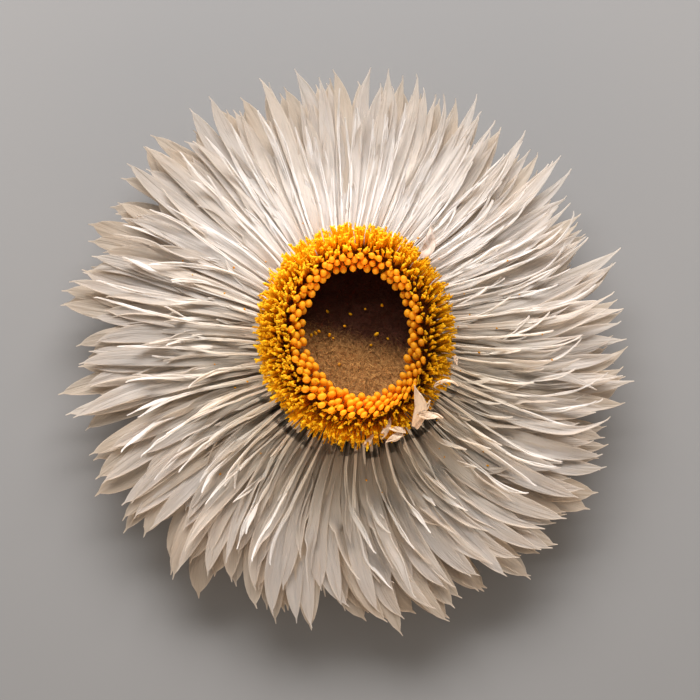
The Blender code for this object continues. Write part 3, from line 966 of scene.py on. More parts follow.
CROWDED_FLORETS = FloretKind(
    length=3.9 * MM,
    tube_radius=0.17 * MM,
    bow=0.35 * MM,
    style_length=0.4 * MM,
    style_radius=0.12 * MM,
    spread=(0.2, 0.6),
    radius=(8.25 * MM, 9.1 * MM),
    height=(12.0 * MM, 12.1 * MM),
    lean=(-2, 42),
    outer_size=0.95,
)
SPREAD_FLORETS = FloretKind(
    length=3.5 * MM,
    tube_radius=0.12 * MM,
    bow=0.15 * MM,
    style_length=0.5 * MM,
    style_radius=0.085 * MM,
    spread=(0.0, 0.25),
    radius=(8.9 * MM, 9.3 * MM),
    height=(12.0 * MM, 10.6 * MM),
    lean=(40, 84),
    outer_size=0.66,
)
FLORET_VARIANTS = 8
FLORET_TOP = 1.05  # where its colour has risen in full, as a share of its length
FLORET_ROUGHNESS = 0.45
FLORET_JITTER = {
    "Lean jitter": math.radians(12),
    "Place jitter": 0.25 * MM,
    "Turn jitter": 0.3,
    "Least size": 0.84,
    "Greatest size": 1.1,
    "Crowding": 0.34,
}
BUD_JITTER = {
    "Lean jitter": math.radians(3),
    "Place jitter": 0.07 * MM,
    "Turn jitter": 0.12,
    "Least size": 0.94,
    "Greatest size": 1.06,
    "Outer size": 0.9,
}
SPARSE_AZIMUTH = math.radians(-15)  # where the florets stand farthest apart
BUD_RADIUS = 0.46 * MM
BUD_NECK = 0.2 * MM
BUD_LENGTH = 3.4 * MM
BUD_SIDES = 8
BUD_LATITUDES = (-58, -25, 8, 40, 68)  # of the rings on its drop
BUD_VARIANTS = 4
BUD_ROWS_ALL_ROUND = 3
BUD_ROWS = {"radius": (8.6 * MM, 8.0 * MM), "height": (11.9 * MM, 13.3 * MM), "lean": (-38, 14)}
BUD_ROUGHNESS = 0.34
BUD_NEAR_LIGHT = 0.4  # how much painted light brightens the buds at the near end
# Outlines of small rods: how far along each, and how thick there.
TUBE_OUTLINE = ((0.0, 0.6), (0.6, 0.85), (0.96, 1.05), (1.0, 0.6))
STYLE_OUTLINE = ((0.0, 0.85), (0.8, 1.0), (1.0, 0.55))
HAIR_OUTLINE = ((0.0, 1.0), (0.5, 0.8), (1.0, 0.35))
HAIR_RADIUS = 0.02 * MM
HAIR_BENDS = (0.1, 0.3, 0.55)


def turns_of(sides):
    return [math.tau * step / sides for step in range(sides)]


def level_ring(radius, height, sides):
    """Points round the axis at one height."""
    return [(radius * math.cos(turn), radius * math.sin(turn), height) for turn in turns_of(sides)]


def lofted(rings, first=0):
    """Points and triangles of a closed tube through rings of as many points each, with capped ends."""
    sides = len(rings[0])
    points = [point for ring in rings for point in ring]
    faces = []
    for row in range(len(rings) - 1):
        near, far = first + row * sides, first + (row + 1) * sides
        for step in range(sides):
            after = (step + 1) % sides
            faces.append((near + step, near + after, far + after))
            faces.append((near + step, far + after, far + step))
    last = first + (len(rings) - 1) * sides
    for step in range(1, sides - 1):
        faces.append((first, first + step + 1, first + step))
        faces.append((last, last + step, last + step + 1))
    return points, faces


def tube_along(path, radii, sides, first=0):
    """A closed tube of a few sides along a short path."""
    path = np.asarray(path)
    side = None
    rings = []
    for index, (middle, radius) in enumerate(zip(path, radii)):
        ahead = path[min(index + 1, len(path) - 1)] - path[max(index - 1, 0)]
        ahead = Vector(ahead).normalized()
        if side is None:
            side = ahead.orthogonal().normalized()
        side = (side - ahead * side.dot(ahead)).normalized()
        other = ahead.cross(side)
        spokes = [math.cos(turn) * side + math.sin(turn) * other for turn in turns_of(sides)]
        rings.append([tuple(Vector(middle) + radius * spoke) for spoke in spokes])
    return lofted(rings, first)


def floret_points(kind, chance):
    """An open floret: a rod that swells towards its mouth, and two blunt style branches."""
    length = kind.length * chance.uniform(0.94, 1.06)
    bow = kind.bow * chance.uniform(0.2, 1.0)
    path = [(bow * share**2, 0.0, length * share) for share, _ in TUBE_OUTLINE]
    radii = [kind.tube_radius * width for _, width in TUBE_OUTLINE]
    points, faces = tube_along(path, radii, 5)
    for branch in (0, 1):
        turn = chance.uniform(-0.5, 0.5) + branch * math.pi
        spread = chance.uniform(*kind.spread)
        style = kind.style_length * chance.uniform(0.7, 1.1)
        path = []
        for share, _ in STYLE_OUTLINE:
            out = kind.style_radius * 0.7 + style * spread * share**1.4
            up = 0.95 * length + style * (1 - 0.4 * spread * share) * share
            path.append((bow + out * math.cos(turn), out * math.sin(turn), up))
        radii = [kind.style_radius * width for _, width in STYLE_OUTLINE]
        more, more_faces = tube_along(path, radii, 4, len(points))
        points += more
        faces += more_faces
    return np.array(points), faces


def bud_points(length, fatness):
    """An unopened floret: a round drop on a neck that narrows towards its foot."""
    drop = BUD_RADIUS * fatness
    profile = [(BUD_NECK * 0.7, 0.0), (BUD_NECK, length - 2.4 * drop)]
    for angle in BUD_LATITUDES:
        turn = math.radians(angle)
        profile.append((drop * math.cos(turn), length + drop * 1.12 * math.sin(turn)))
    points, faces = lofted([level_ring(radius, height, BUD_SIDES) for radius, height in profile])
    return np.array(points), faces


def hair_points(bend, radius):
    """A hair of three sides, one unit long, tapered and bent to one side."""
    path = [(bend * share**2, 0, share) for share, _ in HAIR_OUTLINE]
    points, faces = tube_along(path, [radius * width for _, width in HAIR_OUTLINE], 3)
    return np.array(points), faces


def variant_object(name, shape, collection):
    """A small mesh to be repeated. Its attribute rise runs from 0 at the foot to 1 at the top."""
    points, faces, height, *numbers = shape
    mesh = bpy.data.meshes.new(name)
    mesh.from_pydata([tuple(point) for point in points], [], faces)
    mesh.polygons.foreach_set("use_smooth", np.ones(len(faces), dtype=bool))
    write_numbers(mesh, {"rise": np.clip(points[:, 2] / height, 0, 1), **dict(numbers)})
    collection.objects.link(bpy.data.objects.new(name, mesh))


def new_socket(tree, name, kind, in_out="INPUT"):
    return tree.interface.new_socket(name=name, in_out=in_out, socket_type="NodeSocket" + kind)


NEAR_ROWS = 2.5  # how many rows more the near side may have
NEAR_ROWS_FROM = (0.3, 0.9)  # where they begin and are all there, by the sine of the direction
ROW_INPUTS = {
    "Int": ("Rows", "Rows all round", "In a row", "Seed"),
    "Float": (
        "Inner radius", "Outer radius", "Inner height", "Outer height", "Inner lean", "Outer lean",
        "Place jitter", "Turn jitter", "Lean jitter", "Least size", "Greatest size", "Outer size",
        "Crowding",
    ),
    "Collection": ("Variants",),
}


def random_number(graph, low, high, seed):
    values = {2: low, 3: high, 8: seed}
    return graph.add("FunctionNodeRandomValue", {"data_type": "FLOAT"}, values, 1)


def random_whole(graph, low, high, seed):
    values = {4: low, 5: high, 8: seed}
    return graph.add("FunctionNodeRandomValue", {"data_type": "INT"}, values, 2)


def tree_with_inputs(name, inputs):
    """A new Geometry Nodes tree: its graph, its inputs' identifiers and the inputs as wires."""
    tree = bpy.data.node_groups.new(name, "GeometryNodeTree")
    graph = Graph(tree)
    identifiers = {}
    for kind, titles in inputs.items():
        for title in titles:
            identifiers[title] = new_socket(tree, title, kind).identifier
    new_socket(tree, "Geometry", "Geometry", "OUTPUT")
    entry = tree.nodes.new("NodeGroupInput")
    return graph, identifiers, {title: Wire(graph, entry.outputs[title]) for title in identifiers}


def rows_tree(name, surface, variants):
    """Geometry Nodes that set copies of small meshes in rings, each leaning out from its foot.

    The rows beyond those that run all round have copies on the near side only.
    """
    graph, identifiers, given = tree_with_inputs(name, ROW_INPUTS)
    seed = given["Seed"]
    in_row = given["In a row"]
    index = graph.add("GeometryNodeInputIndex")
    row = graph.math("FLOOR", (index + 0.5) / in_row)
    share = row / (given["Rows"] - 1.0)
    jitter = given["Turn jitter"] * random_number(graph, -1.0, 1.0, seed)
    turn = (index - row * in_row + row * 0.5 + jitter) * math.tau / in_row
    turn = turn + given["Crowding"] * graph.math("SINE", turn - SPARSE_AZIMUTH)
    near = graph.smooth(0.0 - graph.math("SINE", turn), *NEAR_ROWS_FROM)
    kept = graph.math("LESS_THAN", row, given["Rows all round"] + near * NEAR_ROWS - 0.1)

    def in_rows(title, jitter, number):
        value = between((given["Inner " + title], given["Outer " + title]), share)
        return value + given[jitter] * random_number(graph, -1.0, 1.0, seed + number)

    radius = in_rows("radius", "Place jitter", 1)
    height = in_rows("height", "Place jitter", 2)
    lean = in_rows("lean", "Lean jitter", 3)
    yaw = turn + given["Lean jitter"] * random_number(graph, -1.2, 1.2, seed + 7)
    growth = random_number(graph, 0.0, 1.0, seed + 4)
    size = between((given["Least size"], given["Greatest size"]), growth)
    size = size * between((1.0, given["Outer size"]), share)
    aside, away = radius * graph.math("COSINE", turn), radius * graph.math("SINE", turn)
    sockets = {"Count": given["Rows"] * in_row, "Position": graph.vector(aside, away, height)}
    points = graph.add("GeometryNodePoints", None, sockets)
    tilt = graph.add("FunctionNodeEulerToRotation", None, {0: graph.vector(0.0, lean, yaw)})
    spin = graph.vector(0.0, 0.0, random_number(graph, 0.0, math.tau, seed + 5))
    spin = graph.add("FunctionNodeEulerToRotation", None, {0: spin})
    rotation = graph.add("FunctionNodeRotateRotation", {"rotation_space": "LOCAL"}, {0: tilt, 1: spin})
    picked = random_whole(graph, 0, variants - 1, seed + 6)
    sockets = {"Points": points, "Selection": kept, "Rotation": rotation}
    finish_tree(graph, given, surface, picked, size, sockets)
    return graph.tree, identifiers


def finish_tree(graph, given, surface, picked, size, sockets):
    """Sets a copy on each point, gives it a tone and its material, and makes it real."""
    values = {"Collection": given["Variants"], "Separate Children": True}
    source = graph.add("GeometryNodeCollectionInfo", None, values)
    values = {"Instance": source, "Pick Instance": True, "Instance Index": picked}
    values = {**values, **sockets, "Scale": graph.vector(size, size, size)}
    copies = graph.add("GeometryNodeInstanceOnPoints", None, values)
    tone = random_number(graph, -1.0, 1.0, given["Seed"] + 9)
    settings = {"data_type": "FLOAT", "domain": "INSTANCE"}
    values = {"Geometry": copies, "Name": "tone", "Value": tone}
    toned = graph.add("GeometryNodeStoreNamedAttribute", settings, values)
    real = graph.add("GeometryNodeRealizeInstances", None, {"Geometry": toned})
    painted = graph.add("GeometryNodeSetMaterial", None, {"Geometry": real, "Material": surface})
    graph.add("NodeGroupOutput", None, {0: painted})


def grown(name, shapes, make_tree, surface, values, carrier=None):
    """Sets copies of small meshes out by a tree, on a carrier or bare, and makes them one plain mesh."""
    variants = bpy.data.collections.new(name + " variants")
    bpy.context.scene.collection.children.link(variants)
    for number, shape in enumerate(shapes):
        variant_object(f"{name} {number}", shape, variants)
    tree, identifiers = make_tree(name, surface, len(shapes))
    mesh = carrier.data.copy() if carrier else bpy.data.meshes.new(name)
    maker = new_object(name + " maker", mesh)
    modifier = maker.modifiers.new("copies", "NODES")
    modifier.node_group = tree
    for title, value in {**values, "Variants": variants}.items():
        modifier[identifiers[title]] = value
    graph = bpy.context.evaluated_depsgraph_get()
    made = bpy.data.meshes.new_from_object(maker.evaluated_get(graph))
    for obj in (maker, *variants.objects):
        bpy.data.objects.remove(obj)
    bpy.data.collections.remove(variants)
    made.name = name
    if carrier is None:
        points = np.empty(len(made.vertices) * 3, np.float32)
        made.vertices.foreach_get("co", points)
        made.vertices.foreach_set("co", drawn_out(points.reshape(-1, 3)).ravel())
        made.update()
    return new_object(name, made)


def row_values(rows, in_row, seed, radius, height, lean, **others):
    """Inputs of a tree of rows. A pair runs from the inner row to the outer. Leans are in degrees."""
    values = {"Rows": rows, "Rows all round": rows, "In a row": in_row, "Seed": seed}
    pairs = {"radius": radius, "height": height, "lean": [math.radians(angle) for angle in lean]}
    for title, (inner, outer) in pairs.items():
        values |= {"Inner " + title: inner, "Outer " + title: outer}
    return values | others


def ring_core(surface):
    """The crowded feet of the florets, as one ring that stands on the cup."""
    inner, outer = RING_CORE[0][0], RING_CORE[-1][0]
    profile = [(inner, DISC_FOOT), *RING_CORE, (outer - RING_CORE_TUCK, CUP_TOP)]
    grid = [level_ring(radius, height, RING_CORE_STEPS) for radius, height in profile]
    points = drawn_out(np.array(grid).reshape(-1, 3))
    index = np.arange(len(points)).reshape(len(profile), RING_CORE_STEPS)
    below = np.roll(index, -1, 0)
    faces = np.stack((index, below, np.roll(below, -1, 1), np.roll(index, -1, 1)), -1).reshape(-1, 4)
    # Its top, seen between the florets, takes the dark foot colour, which is partly painted shade.
    rise = 0.5 * smooth_step((RING_CORE_TOP - points[:, 2]) / MM)
    numbers = {"rise": rise, "tone": np.zeros(len(points))}
    return mesh_object("ring core", points, faces, surface, numbers)


def floret_rows(name, kind, surface, look, chance):
    """The rows of one set of open florets."""
    height = kind.length * FLORET_TOP
    shapes = [(*floret_points(kind, chance), height) for _ in range(FLORET_VARIANTS)]
    rows = (look.floret_rows, look.florets_in_row, look.seed, kind.radius, kind.height, kind.lean)
    values = row_values(*rows, **FLORET_JITTER) | {"Outer size": kind.outer_size}
    return grown(name, shapes, rows_tree, surface, values)


class STRAWFLOWER_OT_open_florets(bpy.types.Operator):
    """Build the ring of open yellow florets"""

    bl_idname = "strawflower.open_florets"
    bl_label = "Open Florets"

    def execute(self, context):
        look = context.scene.strawflower_disc
        colours = (look.foot_colour, look.floret_colour, look.mouth_colour)
        surface = floret_material("floret", *colours, FLORET_ROUGHNESS)
        chance = np.random.default_rng(look.seed)
        crowded = floret_rows("open_floret_ring", CROWDED_FLORETS, surface, look, chance)
        spread = floret_rows("spread florets", SPREAD_FLORETS, surface, look, chance)
        dress(join(crowded, spread, ring_core(surface)), "floret", "open_florets")
        return {"FINISHED"}


class STRAWFLOWER_OT_floret_buds(bpy.types.Operator):
    """Build the round buds on the ring's inner edge"""

    bl_idname = "strawflower.floret_buds"
    bl_label = "Floret Buds"

    def execute(self, context):
        look = context.scene.strawflower_disc
        colours = (look.foot_colour, look.bud_colour, look.bud_colour)
        surface = floret_material("bud", *colours, BUD_ROUGHNESS, BUD_NEAR_LIGHT)
        chance = np.random.default_rng(look.seed + 1)
        shapes = []
        for _ in range(BUD_VARIANTS):
            length = BUD_LENGTH * chance.uniform(0.95, 1.05)
            shapes.append((*bud_points(length, chance.uniform(0.9, 1.06)), length))
        rows = (look.bud_rows, look.buds_in_row, look.seed + 20)
        values = row_values(*rows, **BUD_ROWS, **BUD_JITTER)
        values["Rows all round"] = BUD_ROWS_ALL_ROUND
        buds = grown("floret_bud_rows", shapes, rows_tree, surface, values)
        dress(buds, "bud", "floret_buds")
        return {"FINISHED"}


HAIR_INPUTS = {
    "Geometry": ("Bed",),
    "Float": ("Density", "Length"),
    "Int": ("Seed",),
    "Collection": ("Variants",),
}
HAIR_LEAN = (math.radians(30), math.radians(86))  # from upright
HAIR_SIZES = (0.5, 1.2)


def hairs_tree(name, surface, variants):
    """Geometry Nodes that lay hairs on the bed, each leaning its own way."""
    graph, identifiers, given = tree_with_inputs(name, HAIR_INPUTS)
    seed = given["Seed"]
    facing = graph.add("ShaderNodeSeparateXYZ", None, {0: graph.add("GeometryNodeInputNormal")}, 2)
    sockets = {
        "Mesh": given["Bed"],
        "Density": given["Density"],
        "Seed": seed,
        "Selection": graph.math("GREATER_THAN", facing, 0.5),
    }
    settings = {"distribute_method": "RANDOM"}
    points = graph.add("GeometryNodeDistributePointsOnFaces", settings, sockets)
    lean = random_number(graph, *HAIR_LEAN, seed + 1)
    turn = random_number(graph, 0.0, math.tau, seed + 2)
    rotation = graph.add("FunctionNodeEulerToRotation", None, {0: graph.vector(0.0, lean, turn)})
    size = given["Length"] * random_number(graph, *HAIR_SIZES, seed + 3)
    picked = random_whole(graph, 0, variants - 1, seed + 4)
    finish_tree(graph, given, surface, picked, size, {"Points": points, "Rotation": rotation})
    return graph.tree, identifiers


FELT_RADIUS = 7 * MM
FELT_SINK = 0.3 * MM  # how far above the bed's foot the middle of its dish lies
FELT_RISE = 0.8 * MM  # from the middle of the dish to its rim
FELT_STEPS = 56
FELT_SEED = 8
TUFTS = 9
TUFT_HEIGHT = 0.035 * MM


def bed_surface(surface):
    """The felt under the hairs: a shallow dish with an uneven top."""
    low = BED_FOOT + FELT_SINK
    shares = np.linspace(0, 1, 12)[1:]
    top = [(FELT_RADIUS * share, low + FELT_RISE * share**2.4) for share in shares]
    profile = [(0, low), *top, (FELT_RADIUS, DISC_FOOT), (0, DISC_FOOT)]
    chance = np.random.default_rng(FELT_SEED)

    def tufts(radius, height, turn):
        bumps = np.zeros_like(height)
        for _ in range(TUFTS):
            wave = chance.uniform(0.8, 2.2) / MM
            away = chance.uniform(0, math.tau)
            across = radius * np.cos(turn - away)
            bumps += np.sin(wave * across + chance.uniform(0, math.tau))
        bumps[-1] = 0
        return radius, height + bumps * TUFT_HEIGHT

    return turned_piece("bed felt", profile, FELT_STEPS, surface, tufts)


FUZZ_SHADE = (0.14, 0.06, 0.02)
# Painted shadow: the fuzz on the far half of the hollow is coloured nearly black, where the ring's far
# wall shades it.
FUZZ_PAINTED_SHADOW = (0.045, 0.011, 0.008)
HOLLOW_SHADOW_EDGE = (-1.9 * MM, 0.9 * MM)  # along Y
HOLLOW_SHADOW_SLANT = 0.25
HOLLOW_SHADOW_SCATTER = 2.0 * MM
FUZZ_SCALE = 3000.0
FUZZ_RELIEF = 0.05 * MM


def fuzz_material(name, pale, dark, painted_shadow):
    """Fuzz: tan hairs, each of its own tone, paler at the tip, with a painted shadow on the head's far
    side.
    """
    material, graph = new_material(name)
    rise, tone = graph.attributes("rise", "tone")
    place, aside, away, _ = graph.position()
    grains = graph.noise(place, FUZZ_SCALE, 3.0)
    colour = graph.mix(graph.smooth(rise * 0.6 + tone * 0.5, -0.4, 0.9), dark, pale)
    # The painted shadow's edge slants and is ragged, hair by hair.
    away = away + aside * HOLLOW_SHADOW_SLANT + tone * HOLLOW_SHADOW_SCATTER
    colour = graph.mix(graph.smooth(away, *HOLLOW_SHADOW_EDGE) * 0.96, colour, painted_shadow)
    colour = graph.shaded(colour, 0.8 + grains * 0.4)
    normal = graph.bump(grains, FUZZ_RELIEF)
    finish_material(graph, colour, 0.7 + grains * 0.2, normal, {"Specular IOR Level": 0.1})
    return material


class STRAWFLOWER_OT_fuzz(bpy.types.Operator):
    """Build the bed of fuzz in the hollow"""

    bl_idname = "strawflower.fuzz"
    bl_label = "Fuzz"

    def execute(self, context):
        look = context.scene.strawflower_disc
        surface = fuzz_material("fuzz", look.fuzz_colour, FUZZ_SHADE, FUZZ_PAINTED_SHADOW)
        bed = bed_surface(surface)
        radius = HAIR_RADIUS / look.hair_length
        shapes = [(*hair_points(bend, radius), 1.0) for bend in HAIR_BENDS]
        density = look.hairs / (math.pi * FELT_RADIUS**2)
        values = {"Density": density, "Length": look.hair_length, "Seed": look.seed}
        hairs = grown("fuzz_bed", shapes, hairs_tree, surface, values, bed)
        dress(join(hairs, bed), "fuzz", "pappus_bed")
        return {"FINISHED"}


# Underside


class UndersideSettings(bpy.types.PropertyGroup):
    """Numbers and colours of the brown scales and the stem."""

    seed: IntProperty(name="Seed", description="Starts the scales' random turns", default=4)
    scale_rows: IntProperty(name="Scale rows", description="Rows of brown scales", default=5, min=2)
    scales_in_row: IntProperty(
        name="Scales in a row", description="Scales in each row", default=19, min=6
    )
    stem_ribs: IntProperty(name="Stem ribs", description="Ribs round the stem", default=11, min=3)
    scale_colour: colour_property("Scale", "Brown scales", 0.55, 0.38, 0.2)
    stem_colour: colour_property("Stem", "Stem and cup", 0.33, 0.27, 0.12)


CUP_EDGE_COLOUR = (0.5, 0.34, 0.2)
RIB_DEPTH = 0.045  # half a rib's depth, as a share of the stem's radius
PALE_STREAK = 1.5  # how much brighter the bark's pale streaks are
RECEPTACLE_STEPS = 96
STEM_NECK = (0.3 * MM, -0.4 * MM)  # where the stem narrows, above and below its top
STEM_FLARE = 1.1  # how wide it is above that, as a share of its radius
RIBS_FROM = 0.6 * MM  # where its ribs begin, above its top
# The stem's cut end, from its side to its pith, as a share of its radius and a height in millimetres.
STEM_END = ((1, 0.8), (1, 0.12), (0.97, 0), (0.62, 0.05), (0.3, 0.22), (0, 0.3))
SCALE_TIP_COLOUR = (0.25, 0.13, 0.05)
SCALE_CELLS = (12, 6)
SCALE_LENGTH = 7.4 * MM
SCALE_WIDTH = 3.3 * MM
SCALE_THICKNESS = PAPER_THICKNESS * 1.6
SCALE_RIPPLE = 0.05 * MM
SCALE_RELIEF = 0.06 * MM
SCALE_GLOW = 0.1
SCALE_WIDEST_AT = 0.5
SCALE_ROOT_WIDTH = 0.55  # as a share of the greatest width
SCALE_CURL = (10, 20)  # degrees by which it curls inwards on its way
SCALE_VARIANTS = 5
SCALE_ROWS = {"radius": (3.6 * MM, 7.6 * MM), "height": (2.9 * MM, 5.4 * MM), "lean": (86, 95)}
SCALE_JITTER = {
    "Lean jitter": math.radians(4),
    "Place jitter": 0.08 * MM,
    "Turn jitter": 0.3,
    "Least size": 0.9,
    "Greatest size": 1.08,
    "Outer size": 1.1,
}


def scale_shape(chance):
    """One short brown scale that stands on its root, curved to hug what is above it."""
    along = np.linspace(0, 1, SCALE_CELLS[0] + 1)
    across = np.linspace(-1, 1, SCALE_CELLS[1] + 1)
    climb = math.pi / 2 - math.radians(chance.uniform(*SCALE_CURL)) * along
    ahead, left, upward = directions(climb, np.zeros_like(climb))
    middle = running_total(ahead, along) * SCALE_LENGTH * chance.uniform(0.9, 1.1)
    swell = np.sin(math.pi / 2 * np.minimum(along / SCALE_WIDEST_AT, 1))
    half = SCALE_WIDTH / 2 * between((SCALE_ROOT_WIDTH, 1), swell)
    past = np.clip((along - SCALE_WIDEST_AT) / (1 - SCALE_WIDEST_AT), 0, 1)
    half = half * (1 - past**2.4) ** 1.1 + MUCRO_HALF_WIDTHS[1]
    width = half[:, None] * across
    ripple = SCALE_RIPPLE * np.sin(7 * along[:, None] + 3 * across + chance.uniform(0, 6))
    lift = width * across * (0.16 + 0.1 * along)[:, None] + ripple
    grid = spread_out(middle, left, upward, width, lift)
    upper, lower = thickened(grid, SCALE_THICKNESS)
    points = np.concatenate((upper.reshape(-1, 3), lower.reshape(-1, 3)))
    faces = shell_faces(*grid.shape[:2]).tolist()
    flat = np.ravel(width / MM)
    return points, faces, SCALE_LENGTH, ("across", np.concatenate((flat, flat)))


def scale_material(name, body, tip):
    """Dry brown scale with lengthwise streaks and a darker tip."""
    material, graph = new_material(name)
    rise, across, tone = graph.attributes("rise", "across", "tone")
    streaks = graph.noise(graph.vector(across * 4.0, rise * 2.0, tone * 20.0), 1.0, 4.0)
    colour = graph.mix(graph.smooth(rise + streaks * 0.3, 0.6, 1.2), body, tip)
    colour = graph.shaded(colour, 0.85 + tone * 0.12 + (streaks - 0.5) * 0.5)
    normal = graph.bump(streaks, SCALE_RELIEF)
    finish_material(graph, colour, 0.5 + streaks * 0.2, normal, None, body, SCALE_GLOW)
    return material


class STRAWFLOWER_OT_brown_scales(bpy.types.Operator):
    """Build the overlapping brown scales under the head"""

    bl_idname = "strawflower.brown_scales"
    bl_label = "Brown Scales"

    def execute(self, context):
        look = context.scene.strawflower_underside
        surface = scale_material("brown scale", look.scale_colour, SCALE_TIP_COLOUR)
        chance = np.random.default_rng(look.seed)
        shapes = [scale_shape(chance) for _ in range(SCALE_VARIANTS)]
        rows = (look.scale_rows, look.scales_in_row, look.seed)
        values = row_values(*rows, **SCALE_ROWS, **SCALE_JITTER)
        scales = grown("brown_scales", shapes, rows_tree, surface, values)
        dress(scales, "scale", "outer_scales")
        return {"FINISHED"}


class STRAWFLOWER_OT_receptacle(bpy.types.Operator):
    """Build the cup and the ribbed stem with its cut end"""

    bl_idname = "strawflower.receptacle"
    bl_label = "Receptacle and Stem"

    def execute(self, context):
        look = context.scene.strawflower_underside
        pale = tuple(channel * PALE_STREAK for channel in look.stem_colour)
        surface = bark_material("stem bark", pale, look.stem_colour, CUP_EDGE_COLOUR)
        ribs = look.stem_ribs
        stem_top = FLARE[0][1] - STEM_SHOULDER
        profile = [
            (0, CUP_TOP),
            (CUP_RADIUS - CUP_EDGE, CUP_TOP),
            (CUP_RADIUS, CUP_TOP - CUP_EDGE),
            FLARE[2],
            FLARE[1],
            FLARE[0],
            (STEM_RADIUS * STEM_FLARE, stem_top + STEM_NECK[0]),
            (STEM_RADIUS, stem_top + STEM_NECK[1]),
            *((STEM_RADIUS * share, height * MM) for share, height in STEM_END),
        ]

        def ribbed(radius, height, turn):
            on_stem = smooth_step((stem_top + RIBS_FROM - height) / MM) * (radius > STEM_RADIUS * 0.7)
            return radius * (1 + RIB_DEPTH * on_stem * (np.cos(ribs * turn) - 1)), height

        obj = turned_piece("receptacle_and_stem", profile, RECEPTACLE_STEPS, surface, ribbed)
        dress(obj, "stem", "receptacle_with_stem")
        return {"FINISHED"}


# Small loose things


@dataclass(frozen=True)
class RimScale:
    """A small crumpled scale at the ring's edge. Lengths are in millimetres, angles in degrees."""

    x: float
    y: float
    z: float
    length: float
    width: float
    heading: float
    turn: float  # how far the heading turns on its way
    climb: float
    bend: float  # how far it bows over on its way


RIM_SCALES = (
    RimScale(6.9, -10.1, 14.0, 5.6, 1.6, 62, 44, 34, 16),
    RimScale(7.4, -8.9, 15.2, 3.0, 0.9, -2, -14, 4, 20),
    RimScale(7.6, -8.8, 15.0, 2.0, 0.5, 44, 10, 24, 10),
    RimScale(2.9, -11.2, 14.2, 2.7, 0.7, 52, 10, 34, 20),
    RimScale(5.8, -10.7, 14.7, 2.4, 0.6, 168, -30, 30, 50),
    RimScale(5.6, -10.9, 14.5, 2.4, 0.8, 196, 20, 16, 40),
    RimScale(4.2, -11.5, 14.3, 2.4, 0.8, 20, 40, 16, 40),
    RimScale(1.0, -12.0, 13.4, 1.8, 0.7, 46, 10, 34, 20),
    RimScale(9.2, -5.8, 15.2, 3.2, 0.3, 38, -80, 14, 30),
    RimScale(11.8, -2.3, 13.0, 1.1, 0.4, -78, 10, 10, 10),
    RimScale(8.0, 8.6, 11.2, 4.2, 1.5, 58, 14, 14, 20),
)
RIM_CELLS = (24, 8)  # along and across
RIM_KINK = math.radians(24)
RIM_CHANNEL = math.radians(34)
RIM_CRUMPLE = math.radians(24)
RIM_RIPPLE = 0.12 * MM
RIM_BLUNT = 0.2  # how much of a scale's bulge is cut off at its root
RIM_TAN = 0.35


def rim_scale_surface(scale, chance):
    """The middle surface of one crumpled scale."""
    along = np.linspace(0, 1, RIM_CELLS[0] + 1)
    across = np.linspace(-1, 1, RIM_CELLS[1] + 1)
    start = np.array((scale.x, scale.y, scale.z)) * MM
    climb = math.radians(scale.climb) - math.radians(scale.bend) * along**1.5
    climb = climb + kinked(along, 1, RIM_KINK, chance)
    heading = math.radians(scale.heading) + math.radians(scale.turn) * along
    heading = heading + kinked(along, 1, RIM_KINK, chance)
    ahead, left, upward = directions(climb, heading)
    middle = start + scale.length * MM * running_total(ahead, along)
    half = scale.width * MM / 2 * np.sin(math.pi * np.clip(between((RIM_BLUNT, 1), along), 0, 1)) ** 1.3
    half = half + MUCRO_HALF_WIDTHS[1]
    waves = 5 * across + 4 * along[:, None] + chance.uniform(0, 6)
    slope = RIM_CHANNEL * across + RIM_CRUMPLE * np.sin(waves)
    over = running_total(np.cos(slope), across, 1) - 1
    up = running_total(np.sin(slope), across, 1)
    centre = RIM_CELLS[1] // 2
    up -= up[:, centre : centre + 1]
    waves = 9 * along[:, None] + 2 * across + chance.uniform(0, 6)
    lift = half[:, None] * up + RIM_RIPPLE * np.sin(waves)
    points = spread_out(middle, left, upward, half[:, None] * over, lift)
    size = points.shape[:2]
    numbers = {
        "along": along[:, None] * np.ones(size),
        "across": half[:, None] * across / MM,
        "rim": np.ones(size) * np.abs(across),
        "tone": np.full(size, chance.uniform(-1, 1)),
        "tan": np.full(size, RIM_TAN),
    }
    return points, numbers


class STRAWFLOWER_OT_rim_scales(bpy.types.Operator):
    """Build the few crumpled scales at the ring's edge"""

    bl_idname = "strawflower.rim_scales"
    bl_label = "Rim Scales"

    def execute(self, context):
        look = context.scene.strawflower_bracts
        paper = (look, look.pink, look.pink, 0.0, 0.0, PINK_GLOW)
        paper = paper_material("pink paper", *paper, root=look.blush)
        chance = np.random.default_rng(context.scene.strawflower_disc.seed + 50)
        shells = [rim_scale_surface(scale, chance) for scale in RIM_SCALES]
        dress(shells_object("rim_scales", shells, paper), "white_bract")
        return {"FINISHED"}


# Crumbs in the hollow and on the bracts: how many, how far out, how crowded inwards and of what radius.
CRUMBS = (
    (14, (0.0, 5.4 * MM), 0.6, (0.12 * MM, 0.25 * MM)),
    (44, (12.4 * MM, 24 * MM), 1.6, (0.06 * MM, 0.13 * MM)),
)
CRUMB_OUTLINE = ((-1.4, 0.4), (-0.5, 1.0), (0.5, 0.9), (1.4, 0.35))
CRUMB_LIFT = 0.6  # how far its middle lies above what it lies on, as a share of its radius
CRUMB_ROUGHNESS = 0.5
CRUMBED_PIECES = (
    "broad_bracts",
    "middle_bracts",
    "creased_bracts",
    "ribbon_bracts",
    "fuzz_bed",
    "open_floret_ring",
)


def dropped_point(x, y, trees):
    """The highest point of the given surfaces above a place, or none."""
    hits = [tree.ray_cast(Vector((x, y, 0.1)), Vector((0, 0, -1)))[0] for tree in trees]
    return max((hit for hit in hits if hit), key=lambda hit: hit.z, default=None)


